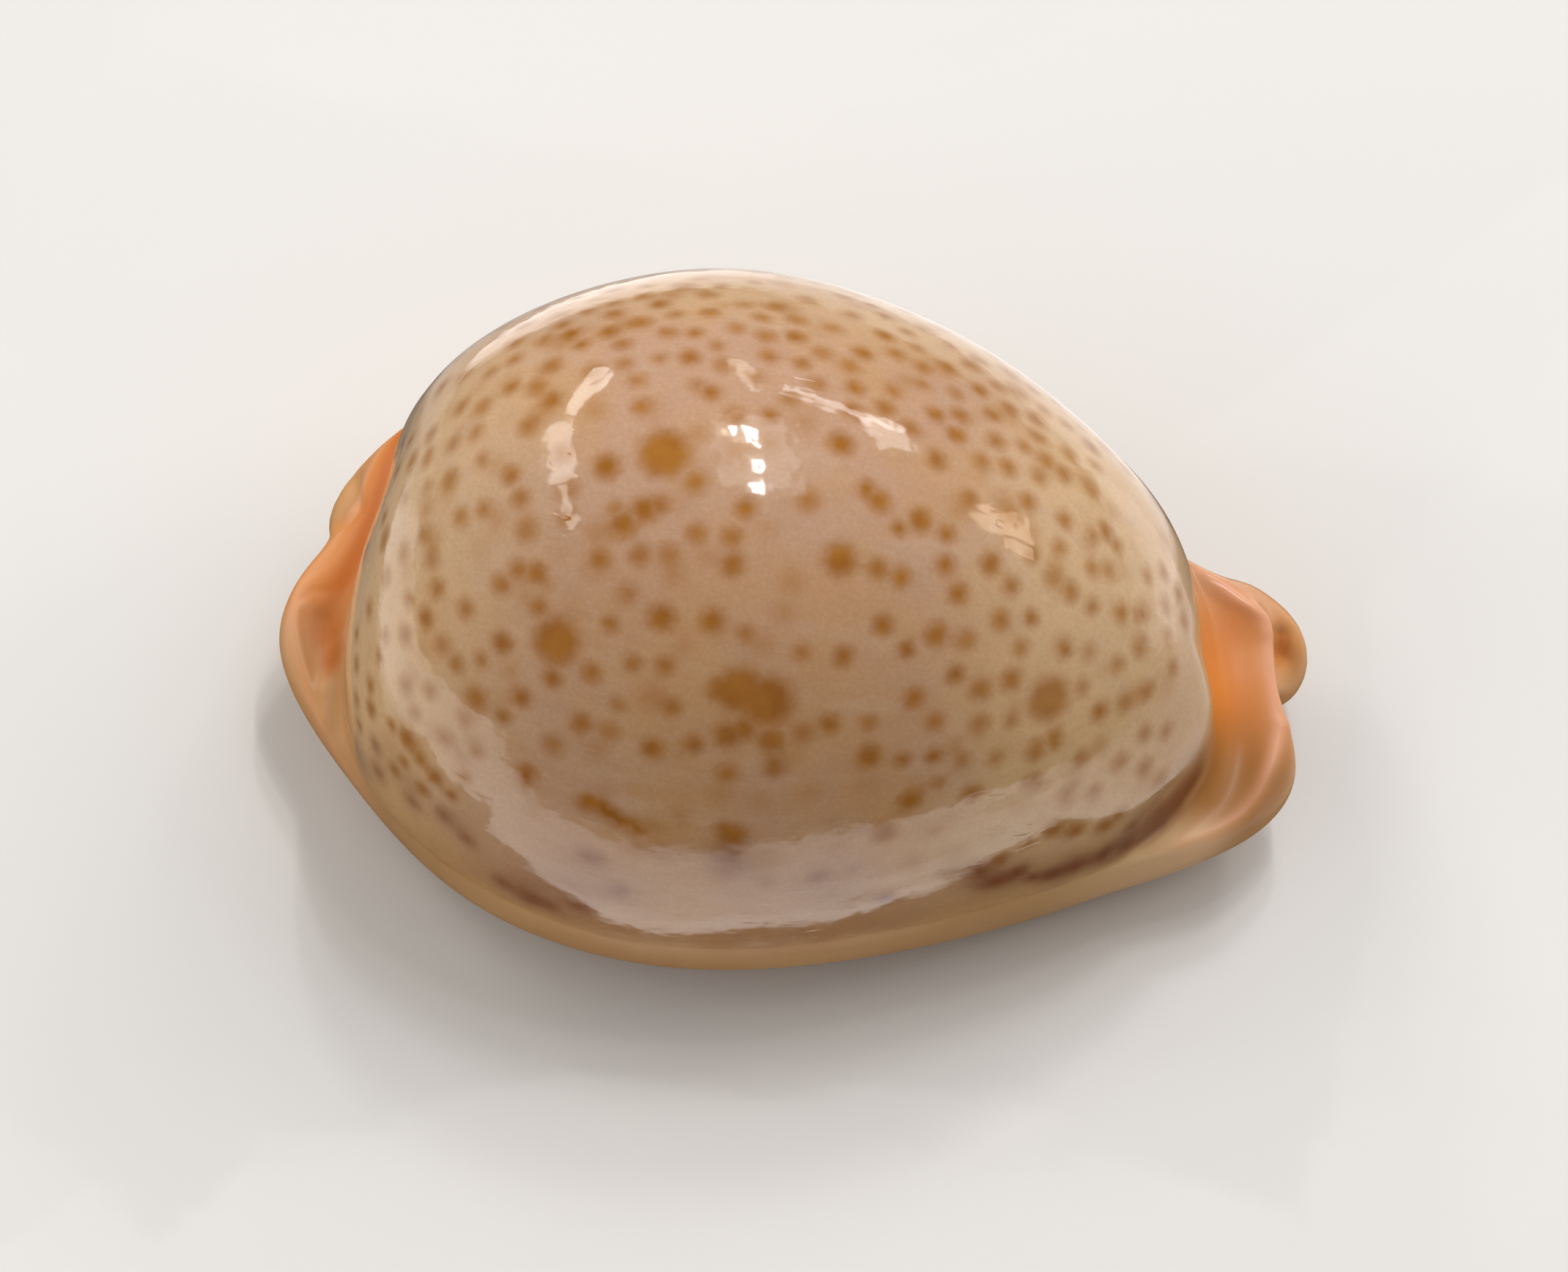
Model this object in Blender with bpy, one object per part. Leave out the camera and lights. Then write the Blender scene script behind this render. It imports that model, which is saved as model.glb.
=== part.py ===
"""Cowrie shell: one hollow piece, open along the toothed aperture underneath.

Frame: +X towards the front (siphonal) end, -X towards the rear (spire) end,
-Y the outer-lip side, +Y the columellar side, +Z up through the dorsum.
The shell stands on its two base ridges at Z = 0.

The surface is a loft of unlike meridians. Every meridian starts at the top of
the dorsum, runs down over the dome, through the sunken band round the end
(valley, rim, terminal), under to the base ridge, over the lip into the
aperture, and then up the inside of the wall to the top of the cavity.
All lengths below are in millimetres.
"""
import bpy
import bmesh
import numpy as np
from math import cos, sin, radians, pi

# ---------------------------------------------------------------- dimensions
SHELL_LENGTH = 36.0     # end to end along X
DORSUM_Z = 19.8         # height of the dorsum above the base
DOME_Z = 6.3            # level at which the dome is widest
DOME_HALF_LENGTH = 15.4
DOME_HALF_WIDTH = 11.45
DOME_MID_Y = 0.25
LABRAL_DROP = 1.35      # the dome runs lower on the labral side, straight into the margin
HUMP_SHIFT = -2.6       # the hump sits behind the middle
SHOULDER = (0.38, 1.28)  # extra fullness of the columellar shoulder, and its growth forwards
WALL = 1.35             # wall thickness of the dome
BASE_INSET = 0.95       # the base is shorter than the outline by this factor
BASE_FLAT = 0.10        # how much the base ridges are worn flat
COLUMELLAR_RIDGE = 3.1  # from the aperture edge to the base ridge
LABRAL_RIDGE = 3.3
LIP_ROUND = 0.95        # width of the rounded lip
LIP_DEPTH = 1.15        # height of the aperture edge over the base
TEETH_COLUMELLAR = 22
TEETH_LABRAL = 23
TOOTH_HEIGHT = 0.30

RINGS = ["dome_foot", "valley", "rim", "rim_outer", "shoulder", "outline",
         "under", "base", "lip", "aperture"]
DOME_LATITUDES = [90, 81, 72, 63, 54, 45, 36, 27, 18, 9]
CAVITY_LATITUDES = [25, 50, 70, 90]

# Where the side walls pass (x, y of the outline), front to rear and back.
COLUMELLAR_SIDE = [(11.5, 6.9), (8.0, 9.1), (3.0, 11.25), (-3.0, 12.0), (-8.0, 10.5), (-11.8, 7.95)]
LABRAL_SIDE = [(-13.55, -6.75), (-9.2, -10.15), (-3.5, -11.5), (2.0, -10.85), (8.0, -8.7), (12.2, -6.5)]

# The two produced ends, ring by ring (x, y, z) in the order of RINGS.
FRONT_COLUMELLAR = [
    # the notch at the mouth of the front canal
    [(14.95, 0.6, 6.7), (16.0, 1.1, 5.3), (17.55, 1.4, 5.2), (17.7, 1.3, 4.9), (17.72, 1.22, 4.6),
     (17.65, 1.25, 4.2), (17.35, 1.35, 3.7), (16.7, 1.4, 3.4), (16.0, 1.3, 3.3), (15.3, 1.2, 3.3)],
    # the rounded columellar terminal: canal side, tip, outer side
    [(14.7, 1.7, 6.9), (15.65, 2.4, 5.5), (17.2, 3.05, 5.45), (17.5, 2.85, 4.6), (17.95, 2.55, 3.9),
     (18.35, 2.35, 3.0), (18.1, 2.1, 2.2), (17.3, 1.95, 1.9), (16.6, 1.9, 2.0), (15.9, 1.8, 2.7)],
    [(14.4, 2.75, 7.0), (15.35, 3.45, 5.75), (16.85, 3.75, 5.8), (17.45, 3.6, 4.85), (18.2, 3.6, 4.3),
     (18.75, 3.35, 3.1), (18.4, 3.2, 1.8), (17.2, 3.0, 0.95), (16.5, 2.5, 1.15), (16.0, 2.2, 2.2)],
    [(14.0, 3.85, 7.0), (14.8, 4.15, 6.0), (15.8, 4.35, 5.95), (16.55, 4.85, 5.35), (17.35, 5.0, 4.45),
     (17.9, 4.95, 3.2), (17.4, 4.6, 1.7), (15.9, 3.9, 0.6), (14.8, 3.1, 0.8), (14.4, 2.5, 1.8)],
    # the waist behind it
    [(13.35, 4.95, 7.0), (13.9, 5.1, 6.3), (14.65, 5.1, 5.85), (15.15, 5.25, 5.2), (15.7, 5.4, 4.35),
     (15.9, 5.4, 3.3), (15.2, 5.1, 1.7), (13.6, 4.4, 0.35), (12.8, 3.0, 0.6), (12.5, 2.3, 1.6)],
]
REAR = [
    # the columellar terminal
    [(-13.65, 5.6, 6.4), (-14.0, 6.05, 6.1), (-14.3, 6.05, 5.7), (-14.7, 5.9, 5.0), (-15.0, 5.65, 4.3),
     (-15.0, 5.4, 3.4), (-14.4, 4.9, 1.9), (-12.8, 4.3, 0.45), (-12.2, 3.4, 0.6), (-11.9, 2.8, 1.5)],
    [(-14.0, 4.1, 6.1), (-14.55, 4.15, 5.85), (-15.05, 4.2, 5.5), (-15.4, 4.15, 4.7), (-15.85, 4.0, 4.25),
     (-16.1, 3.75, 3.2), (-15.6, 3.5, 1.9), (-14.2, 3.3, 0.9), (-13.6, 2.9, 1.0), (-13.3, 2.6, 1.9)],
    # the notch at the mouth of the rear canal
    [(-14.2, 2.1, 5.9), (-14.95, 2.0, 5.65), (-15.65, 2.05, 5.3), (-15.9, 2.15, 4.9), (-16.0, 2.25, 4.5),
     (-15.95, 2.25, 4.1), (-15.5, 2.3, 3.6), (-14.9, 2.3, 3.3), (-14.2, 2.2, 3.2), (-13.5, 2.0, 3.2)],
    # the longer labral terminal, dished behind its rim
    [(-14.52, 0.5, 5.65), (-15.45, 0.45, 5.35), (-16.35, 0.75, 5.1), (-16.6, 0.85, 4.8), (-16.65, 0.95, 4.3),
     (-16.55, 1.0, 3.8), (-16.0, 1.3, 3.0), (-15.2, 1.5, 2.6), (-14.5, 1.6, 2.7), (-13.8, 1.6, 3.0)],
    [(-14.75, -1.25, 5.45), (-15.8, -1.25, 4.75), (-16.75, -1.2, 4.95), (-17.05, -1.25, 4.6), (-17.18, -1.25, 4.1),
     (-17.12, -1.2, 3.4), (-16.6, -0.9, 2.2), (-15.6, -0.4, 1.25), (-14.95, 0.35, 1.4), (-14.45, 0.95, 2.25)],
    [(-14.7, -3.45, 5.05), (-15.2, -3.7, 4.65), (-15.7, -3.9, 4.45), (-15.88, -4.0, 4.05), (-15.92, -4.02, 3.6),
     (-15.78, -3.9, 3.0), (-15.2, -3.5, 1.7), (-14.25, -2.35, 0.7), (-13.95, -0.6, 0.65), (-13.75, 0.45, 1.6)],
]
FRONT_LABRAL = [
    [(14.15, -4.7, 5.0), (14.75, -4.8, 4.65), (15.25, -4.8, 4.5), (15.45, -4.9, 4.0), (15.52, -4.93, 3.6),
     (15.42, -4.88, 3.0), (14.9, -4.7, 1.7), (13.2, -3.9, 0.45), (12.6, -2.2, 0.7), (12.4, -1.4, 1.6)],
    [(15.4, -2.8, 5.3), (16.2, -3.05, 4.65), (17.2, -3.2, 4.7), (17.5, -3.35, 4.3), (17.65, -3.42, 3.8),
     (17.6, -3.4, 3.1), (17.0, -3.2, 1.9), (15.5, -2.7, 0.8), (14.8, -1.6, 1.0), (14.5, -0.8, 2.0)],
    [(15.65, -1.45, 5.8), (16.55, -1.45, 4.8), (17.8, -1.5, 4.95), (18.35, -1.6, 4.55), (18.62, -1.68, 4.0),
     (18.65, -1.7, 3.3), (18.2, -1.6, 2.2), (17.0, -1.3, 1.2), (16.5, -0.6, 1.4), (16.1, 0.0, 2.3)],
    [(15.35, -0.4, 6.4), (16.3, -0.1, 5.05), (18.0, -0.05, 5.0), (18.3, -0.05, 4.7), (18.4, -0.05, 4.2),
     (18.35, 0.05, 3.6), (17.9, 0.3, 2.9), (17.2, 0.5, 2.5), (16.6, 0.6, 2.6), (15.9, 0.7, 2.9)],
]

# ------------------------------------------------------------------ aperture
def aperture_mid(x):
    """The aperture's centre line, bent towards the spire at the rear."""
    return np.interp(x, [-14, -11, -7, -2, 4, 9, 13, 16], [1.9, 1.0, 0.0, -0.75, -0.95, -0.55, 0.3, 1.1])


def aperture_half(x):
    """Half the aperture's width: it widens towards the front."""
    return np.interp(x, [-14, -11, -6, 0, 6, 11, 14, 16], [0.85, 0.85, 0.95, 1.1, 1.35, 1.5, 1.3, 1.0])


def base_rise(x):
    return 0.0035 * max(0.0, abs(x) - 9.0) ** 2.2


def side_meridian(x, y, labral):
    """The ten rings where a side wall passes (x, y): a superellipse from the widest level down to the base ridge."""
    mid, half = float(aperture_mid(x)), float(aperture_half(x))
    sign = -1.0 if labral else 1.0
    ridge = mid + sign * (half + (LABRAL_RIDGE if labral else COLUMELLAR_RIDGE))
    low, xb = base_rise(x), x * BASE_INSET
    if labral:      # the dome runs straight into the thickened margin
        wide = float(np.interp(x, [-14, -3, 8, 13], [4.3, 4.0, 4.0, 4.0]))
        rows = [(x, y + 0.05, wide + 1.1), (x, y + 0.01, wide + 0.55), (x, y, wide)]
        angles, power = (14, 28, 43, 60), 2 / 2.3
    else:
        wide = float(np.interp(x, [-12, -3, 8, 12], [7.0, 7.4, 7.2, 6.7]))
        rows = [(x, y, wide)]
        angles, power = (11, 22, 34, 46, 59, 73), 2 / 2.25
    for a in angles:
        rows.append((x * (1 - 0.04 * a / 90), ridge + (y - ridge) * cos(radians(a)) ** power,
                     low + (wide - low) * (1 - sin(radians(a)) ** power)))
    rows.append((xb, ridge, low))
    rows.append((xb, mid + sign * (half + LIP_ROUND), low + 0.22))
    rows.append((xb, mid + sign * half, low + LIP_DEPTH))
    return rows


def meridians():
    rows = list(FRONT_COLUMELLAR)
    rows += [side_meridian(x, y, False) for x, y in COLUMELLAR_SIDE]
    rows += REAR
    rows += [side_meridian(x, y, True) for x, y in LABRAL_SIDE]
    rows += FRONT_LABRAL
    return np.array(rows, float)


# ------------------------------------------------------------------- splines
def smooth(a, b, x):
    t = np.clip((x - a) / (b - a), 0, 1)
    return t * t * (3 - 2 * t)


def around(points, knots, period, t):
    """Smooth closed curve through points (K, ...) at the knots, read at t."""
    count = len(knots)
    h = np.diff(np.append(knots, knots[0] + period))
    lhs, rhs = np.zeros((count, count)), np.zeros(points.shape)
    for i in range(count):
        a, b, nxt = h[i - 1], h[i], (i + 1) % count
        lhs[i, i - 1] += a
        lhs[i, i] += 2 * (a + b)
        lhs[i, nxt] += b
        rhs[i] = 6 * ((points[nxt] - points[i]) / b - (points[i] - points[i - 1]) / a)
    bend = np.linalg.solve(lhs, rhs.reshape(count, -1)).reshape(points.shape)
    t = np.mod(t - knots[0], period) + knots[0]
    i = np.clip(np.searchsorted(knots, t, side="right") - 1, 0, count - 1)
    j = (i + 1) % count
    shape = (slice(None),) + (None,) * (points.ndim - 1)
    gap, s = h[i][shape], (t - knots[i])[shape]
    p, q = (gap - s) / gap, s / gap
    return p * points[i] + q * points[j] + ((p ** 3 - p) * bend[i] + (q ** 3 - q) * bend[j]) * gap ** 2 / 6


def down(points, steps):
    """Smooth open curve down each meridian (N, J, 3), level at the top, with steps samples in each gap."""
    n, rows, _ = points.shape
    h = np.linalg.norm(np.diff(points, axis=1), axis=2) ** 0.75
    lhs, rhs = np.zeros((n, rows, rows)), np.zeros((n, rows, 3))
    for i in range(1, rows - 1):
        a, b = h[:, i - 1], h[:, i]
        lhs[:, i, i - 1], lhs[:, i, i], lhs[:, i, i + 1] = a, 2 * (a + b), b
        rhs[:, i] = 6 * ((points[:, i + 1] - points[:, i]) / b[:, None] - (points[:, i] - points[:, i - 1]) / a[:, None])
    start = points[:, 1] - points[:, 0]
    chord = np.linalg.norm(start, axis=1)
    start[:, 2] = 0
    start *= (1.004 * chord / h[:, 0] / np.linalg.norm(start, axis=1))[:, None]
    lhs[:, 0, 0], lhs[:, 0, 1] = 2 * h[:, 0], h[:, 0]
    rhs[:, 0] = 6 * ((points[:, 1] - points[:, 0]) / h[:, :1] - start)
    lhs[:, -1, -1] = 1
    bend = np.linalg.solve(lhs, rhs)
    out = []
    for i in range(rows - 1):
        for k in range(steps[i]):
            q = k / steps[i]
            p = 1 - q
            out.append(p * points[:, i] + q * points[:, i + 1]
                       + ((p ** 3 - p) * bend[:, i] + (q ** 3 - q) * bend[:, i + 1]) * (h[:, i] ** 2)[:, None] / 6)
    out.append(points[:, -1])
    return np.stack(out, 1)


# ---------------------------------------------------------------------- loft
def dome(xi, eta, zeta):
    bulge = np.maximum(eta, 0) * zeta * (SHOULDER[0] + SHOULDER[1] * xi)
    low = DOME_Z - LABRAL_DROP * smooth(0.1, 0.8, -eta / np.maximum(np.hypot(xi, eta), 1e-9))
    return np.stack([DOME_HALF_LENGTH * xi + HUMP_SHIFT * (1 - xi ** 2),
                     DOME_MID_Y + DOME_HALF_WIDTH * eta + bulge,
                     low + (DORSUM_Z - low) * zeta], -1)


def cavity(xi, eta, zeta):
    return np.stack([(DOME_HALF_LENGTH - WALL) * xi + HUMP_SHIFT * (1 - xi ** 2),
                     DOME_MID_Y + (DOME_HALF_WIDTH - WALL) * eta,
                     DOME_Z + (DORSUM_Z - WALL - DOME_Z) * zeta], -1)


def knots_of(rings):
    path = 0.6 * rings[:, 5] + 0.4 * rings[:, 0]
    step = np.linalg.norm(np.roll(path, -1, 0) - path, axis=1) ** 0.8
    total = np.concatenate([[0], np.cumsum(step)])
    return total[:-1], total[-1]


def columns(rings, per_tooth, rear_count, front_count):
    """Positions of the meridians: evenly along both lips, so that the teeth fall on them, and evenly round both ends."""
    knots, period = knots_of(rings)
    front = len(FRONT_COLUMELLAR)
    rear = front + len(COLUMELLAR_SIDE) - 1
    rear_last = rear + len(REAR) + 1
    front_last = rear_last + len(LABRAL_SIDE) - 1
    lips = []
    for first, last, teeth in ((front, rear, TEETH_COLUMELLAR), (rear_last, front_last, TEETH_LABRAL)):
        t = np.linspace(knots[first], knots[last], 2001)
        x = around(rings, knots, period, t)[:, 9, 0]
        order = np.argsort(x)
        lips.append(np.interp(np.linspace(x[0], x[-1], teeth * per_tooth + 1), x[order], t[order]))
    ends = []
    for start, stop, count in ((lips[0][-1], lips[1][0], rear_count), (lips[1][-1], lips[0][0] + period, front_count)):
        t = np.linspace(start, stop, 1201)
        path = around(rings, knots, period, t)[:, [0, 5]]
        length = np.concatenate([[0], np.cumsum(np.linalg.norm(np.diff(path, axis=0), axis=2).mean(1))])
        ends.append(np.mod(np.interp(np.linspace(0, length[-1], count + 2)[1:-1], length, t), period))
    t = np.concatenate([lips[0], ends[0], lips[1], ends[1]])
    phase = np.concatenate([np.arange(len(lips[0])) / per_tooth, np.zeros(rear_count),
                            np.arange(len(lips[1])) / per_tooth, np.zeros(front_count)])
    # the teeth die out over the last one of each row
    rise = [np.clip(np.minimum(np.arange(len(k)), np.arange(len(k))[::-1]) / per_tooth, 0, 1) for k in lips]
    lip = np.concatenate([rise[0], np.zeros(rear_count), rise[1], np.zeros(front_count)])
    return t, phase, lip


def loft(per_tooth, rear_count, front_count, steps):
    rings_at = meridians()
    knots, period = knots_of(rings_at)
    t, phase, lip = columns(rings_at, per_tooth, rear_count, front_count)
    rings = around(rings_at, knots, period, t)
    foot, edge = rings[:, 0], rings[:, 9]
    # the direction in which each meridian leaves the top of the dome
    disc = np.maximum(DOME_HALF_LENGTH ** 2 + 4 * HUMP_SHIFT * (HUMP_SHIFT - foot[:, 0]), 0)
    xi = (-DOME_HALF_LENGTH + np.sqrt(disc)) / (-2 * HUMP_SHIFT)
    angle = np.arctan2((foot[:, 1] - DOME_MID_Y) / DOME_HALF_WIDTH, xi)
    cx, cy, nil = np.cos(angle), np.sin(angle), np.zeros(len(angle))
    miss = foot - dome(cx, cy, nil)
    rows = []
    for a in DOME_LATITUDES:
        c, s = cos(radians(a)), sin(radians(a))
        rows.append(dome(c * cx, c * cy, s + nil) + c ** 6 * miss)
    rows += [rings[:, k] for k in range(10)]
    # the inside: throat, cavity foot and cavity roof
    inner = foot.copy()
    out = np.stack([foot[:, 0] / DOME_HALF_LENGTH ** 2, foot[:, 1] / DOME_HALF_WIDTH ** 2], 1)
    inner[:, :2] -= out / np.linalg.norm(out, axis=1)[:, None] * WALL * 1.15
    inner[:, 2] += 0.3
    columellar = 0.5 + 0.5 * np.clip(edge[:, 1] - aperture_mid(edge[:, 0]), -1, 1)
    end = np.clip((np.abs(edge[:, 0]) - 10.5) / 4, 0, 1)
    reach = inner - edge
    for part, lift, end_lift in ((0.17, 1.5 + 1.0 * columellar, 0.25), (0.62, 1.35 + 1.3 * columellar, 0.75)):
        row = edge + reach * np.array([part, part, 0])
        row[:, 2] = edge[:, 2] + lift * (1 - end) + end_lift * end
        rows.append(row)
    rows.append(inner)
    at_foot = inner - cavity(cx, cy, nil)
    for a in CAVITY_LATITUDES:
        c, s = cos(radians(a)), sin(radians(a))
        rows.append(cavity(c * cx, c * cy, s + nil) + c ** 6 * at_foot)
    points = np.stack(rows, 1)
    grid = down(points, steps)
    # teeth: ridges across both lips, highest at the aperture edge
    lip_row = sum(steps[:18])
    edge_row = sum(steps[:19])
    throat_row = sum(steps[:20])
    crest = -np.cos(2 * pi * phase) * lip * 0.5
    for row in range(lip_row - steps[17] + 1, throat_row):
        f = (row - (lip_row - steps[17])) / (edge_row - lip_row + steps[17]) if row <= edge_row \
            else (throat_row - row) / (throat_row - edge_row)
        outward = edge - points[:, 20]
        outward = outward / np.linalg.norm(outward, axis=1)[:, None]
        grid[:, row] += outward * (crest * TOOTH_HEIGHT * sin(pi / 2 * f))[:, None]
    return grid


def build():
    steps = [1] * 10 + [2, 2, 1, 1, 1, 2] + [2, 3, 2, 2, 1, 1] + [1] * 4
    grid = loft(2, 25, 31, steps)
    # stand on worn ridges, with the outline's middle over the origin and the stated length
    grid[..., 2] -= BASE_FLAT
    grid[..., 2] = np.maximum(grid[..., 2], 0)
    low, high = grid.reshape(-1, 3).min(0), grid.reshape(-1, 3).max(0)
    grid[..., :2] -= (low[:2] + high[:2]) / 2
    grid *= SHELL_LENGTH / (high[0] - low[0])
    return grid * 0.001


def make_object(name, grid, material, collection):
    n, rows, _ = grid.shape
    mesh = bpy.data.meshes.new(name)
    bm = bmesh.new()
    top, bottom = bm.verts.new(grid[:, 0].mean(0)), bm.verts.new(grid[:, -1].mean(0))
    verts = [[bm.verts.new(grid[i, j]) for j in range(1, rows - 1)] for i in range(n)]
    for i in range(n):
        a, b = verts[i], verts[(i + 1) % n]
        bm.faces.new((top, a[0], b[0]))
        for j in range(rows - 3):
            bm.faces.new((a[j], a[j + 1], b[j + 1], b[j]))
        bm.faces.new((a[-1], bottom, b[-1]))
    bmesh.ops.recalc_face_normals(bm, faces=bm.faces)
    bm.to_mesh(mesh)
    bm.free()
    mesh.shade_smooth()
    mesh.materials.append(material)
    ob = bpy.data.objects.new(name, mesh)
    collection.objects.link(ob)
    return ob


def main():
    for ob in list(bpy.data.objects):
        bpy.data.objects.remove(ob, do_unlink=True)
    collection = bpy.data.collections.new("cowrie_shell_part")
    bpy.context.scene.collection.children.link(collection)
    enamel = bpy.data.materials.new("enamel")
    enamel.use_nodes = True
    shader = enamel.node_tree.nodes["Principled BSDF"]
    shader.inputs["Base Color"].default_value = (0.42, 0.27, 0.19, 1.0)
    shader.inputs["Roughness"].default_value = 0.12
    shader.inputs["Metallic"].default_value = 0.0
    make_object("cowrie_shell", build(), enamel, collection)


main()
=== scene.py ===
"""The looks of the cowrie shell: a fine enamel surface on the shell's own loft, its markings, floor, light and camera."""

import bmesh
import bpy
import numpy as np
from math import cos, sin, radians, pi
from mathutils import Matrix, Vector, noise


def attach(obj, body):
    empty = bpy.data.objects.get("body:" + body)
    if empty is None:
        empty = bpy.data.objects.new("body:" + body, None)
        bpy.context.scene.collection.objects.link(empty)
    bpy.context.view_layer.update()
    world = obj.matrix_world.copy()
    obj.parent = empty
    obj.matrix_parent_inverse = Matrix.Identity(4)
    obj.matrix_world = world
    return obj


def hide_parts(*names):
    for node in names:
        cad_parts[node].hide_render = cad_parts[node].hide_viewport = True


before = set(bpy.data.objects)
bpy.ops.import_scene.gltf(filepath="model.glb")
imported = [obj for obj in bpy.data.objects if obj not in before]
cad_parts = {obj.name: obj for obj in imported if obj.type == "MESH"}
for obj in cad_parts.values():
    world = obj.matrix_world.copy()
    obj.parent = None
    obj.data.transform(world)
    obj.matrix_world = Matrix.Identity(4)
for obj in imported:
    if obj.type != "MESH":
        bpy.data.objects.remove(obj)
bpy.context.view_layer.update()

# ---------------------------------------------------------------- dimensions
SHELL_LENGTH = 36.0     # end to end along X
DORSUM_Z = 19.8         # height of the dorsum above the base
DOME_Z = 6.3            # level at which the dome is widest
DOME_HALF_LENGTH = 15.4
DOME_HALF_WIDTH = 11.45
DOME_MID_Y = 0.25
LABRAL_DROP = 1.35      # the dome runs lower on the labral side, straight into the margin
HUMP_SHIFT = -2.6       # the hump sits behind the middle
SHOULDER = (0.38, 1.28)  # extra fullness of the columellar shoulder, and its growth forwards
WALL = 1.35             # wall thickness of the dome
BASE_INSET = 0.95       # the base is shorter than the outline by this factor
BASE_FLAT = 0.10        # how much the base ridges are worn flat
COLUMELLAR_RIDGE = 3.1  # from the aperture edge to the base ridge
LABRAL_RIDGE = 3.3
LIP_ROUND = 0.95        # width of the rounded lip
LIP_DEPTH = 1.15        # height of the aperture edge over the base
TEETH_COLUMELLAR = 22
TEETH_LABRAL = 23
TOOTH_HEIGHT = 0.30

RINGS = ["dome_foot", "valley", "rim", "rim_outer", "shoulder", "outline",
         "under", "base", "lip", "aperture"]
DOME_LATITUDES = [90, 81, 72, 63, 54, 45, 36, 27, 18, 9]
CAVITY_LATITUDES = [25, 50, 70, 90]

# Where the side walls pass (x, y of the outline), front to rear and back.
COLUMELLAR_SIDE = [(11.5, 6.9), (8.0, 9.1), (3.0, 11.25), (-3.0, 12.0), (-8.0, 10.5), (-11.8, 7.95)]
LABRAL_SIDE = [(-13.55, -6.75), (-9.2, -10.15), (-3.5, -11.5), (2.0, -10.85), (8.0, -8.7), (12.2, -6.5)]

# The two produced ends, ring by ring (x, y, z) in the order of RINGS.
FRONT_COLUMELLAR = [
    # the notch at the mouth of the front canal
    [(14.95, 0.6, 6.7), (16.0, 1.1, 5.3), (17.55, 1.4, 5.2), (17.7, 1.3, 4.9), (17.72, 1.22, 4.6),
     (17.65, 1.25, 4.2), (17.35, 1.35, 3.7), (16.7, 1.4, 3.4), (16.0, 1.3, 3.3), (15.3, 1.2, 3.3)],
    # the rounded columellar terminal: canal side, tip, outer side
    [(14.7, 1.7, 6.9), (15.65, 2.4, 5.5), (17.2, 3.05, 5.45), (17.5, 2.85, 4.6), (17.95, 2.55, 3.9),
     (18.35, 2.35, 3.0), (18.1, 2.1, 2.2), (17.3, 1.95, 1.9), (16.6, 1.9, 2.0), (15.9, 1.8, 2.7)],
    [(14.4, 2.75, 7.0), (15.35, 3.45, 5.75), (16.85, 3.75, 5.8), (17.45, 3.6, 4.85), (18.2, 3.6, 4.3),
     (18.75, 3.35, 3.1), (18.4, 3.2, 1.8), (17.2, 3.0, 0.95), (16.5, 2.5, 1.15), (16.0, 2.2, 2.2)],
    [(14.0, 3.85, 7.0), (14.8, 4.15, 6.0), (15.8, 4.35, 5.95), (16.55, 4.85, 5.35), (17.35, 5.0, 4.45),
     (17.9, 4.95, 3.2), (17.4, 4.6, 1.7), (15.9, 3.9, 0.6), (14.8, 3.1, 0.8), (14.4, 2.5, 1.8)],
    # the waist behind it
    [(13.35, 4.95, 7.0), (13.9, 5.1, 6.3), (14.65, 5.1, 5.85), (15.15, 5.25, 5.2), (15.7, 5.4, 4.35),
     (15.9, 5.4, 3.3), (15.2, 5.1, 1.7), (13.6, 4.4, 0.35), (12.8, 3.0, 0.6), (12.5, 2.3, 1.6)],
]
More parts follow.
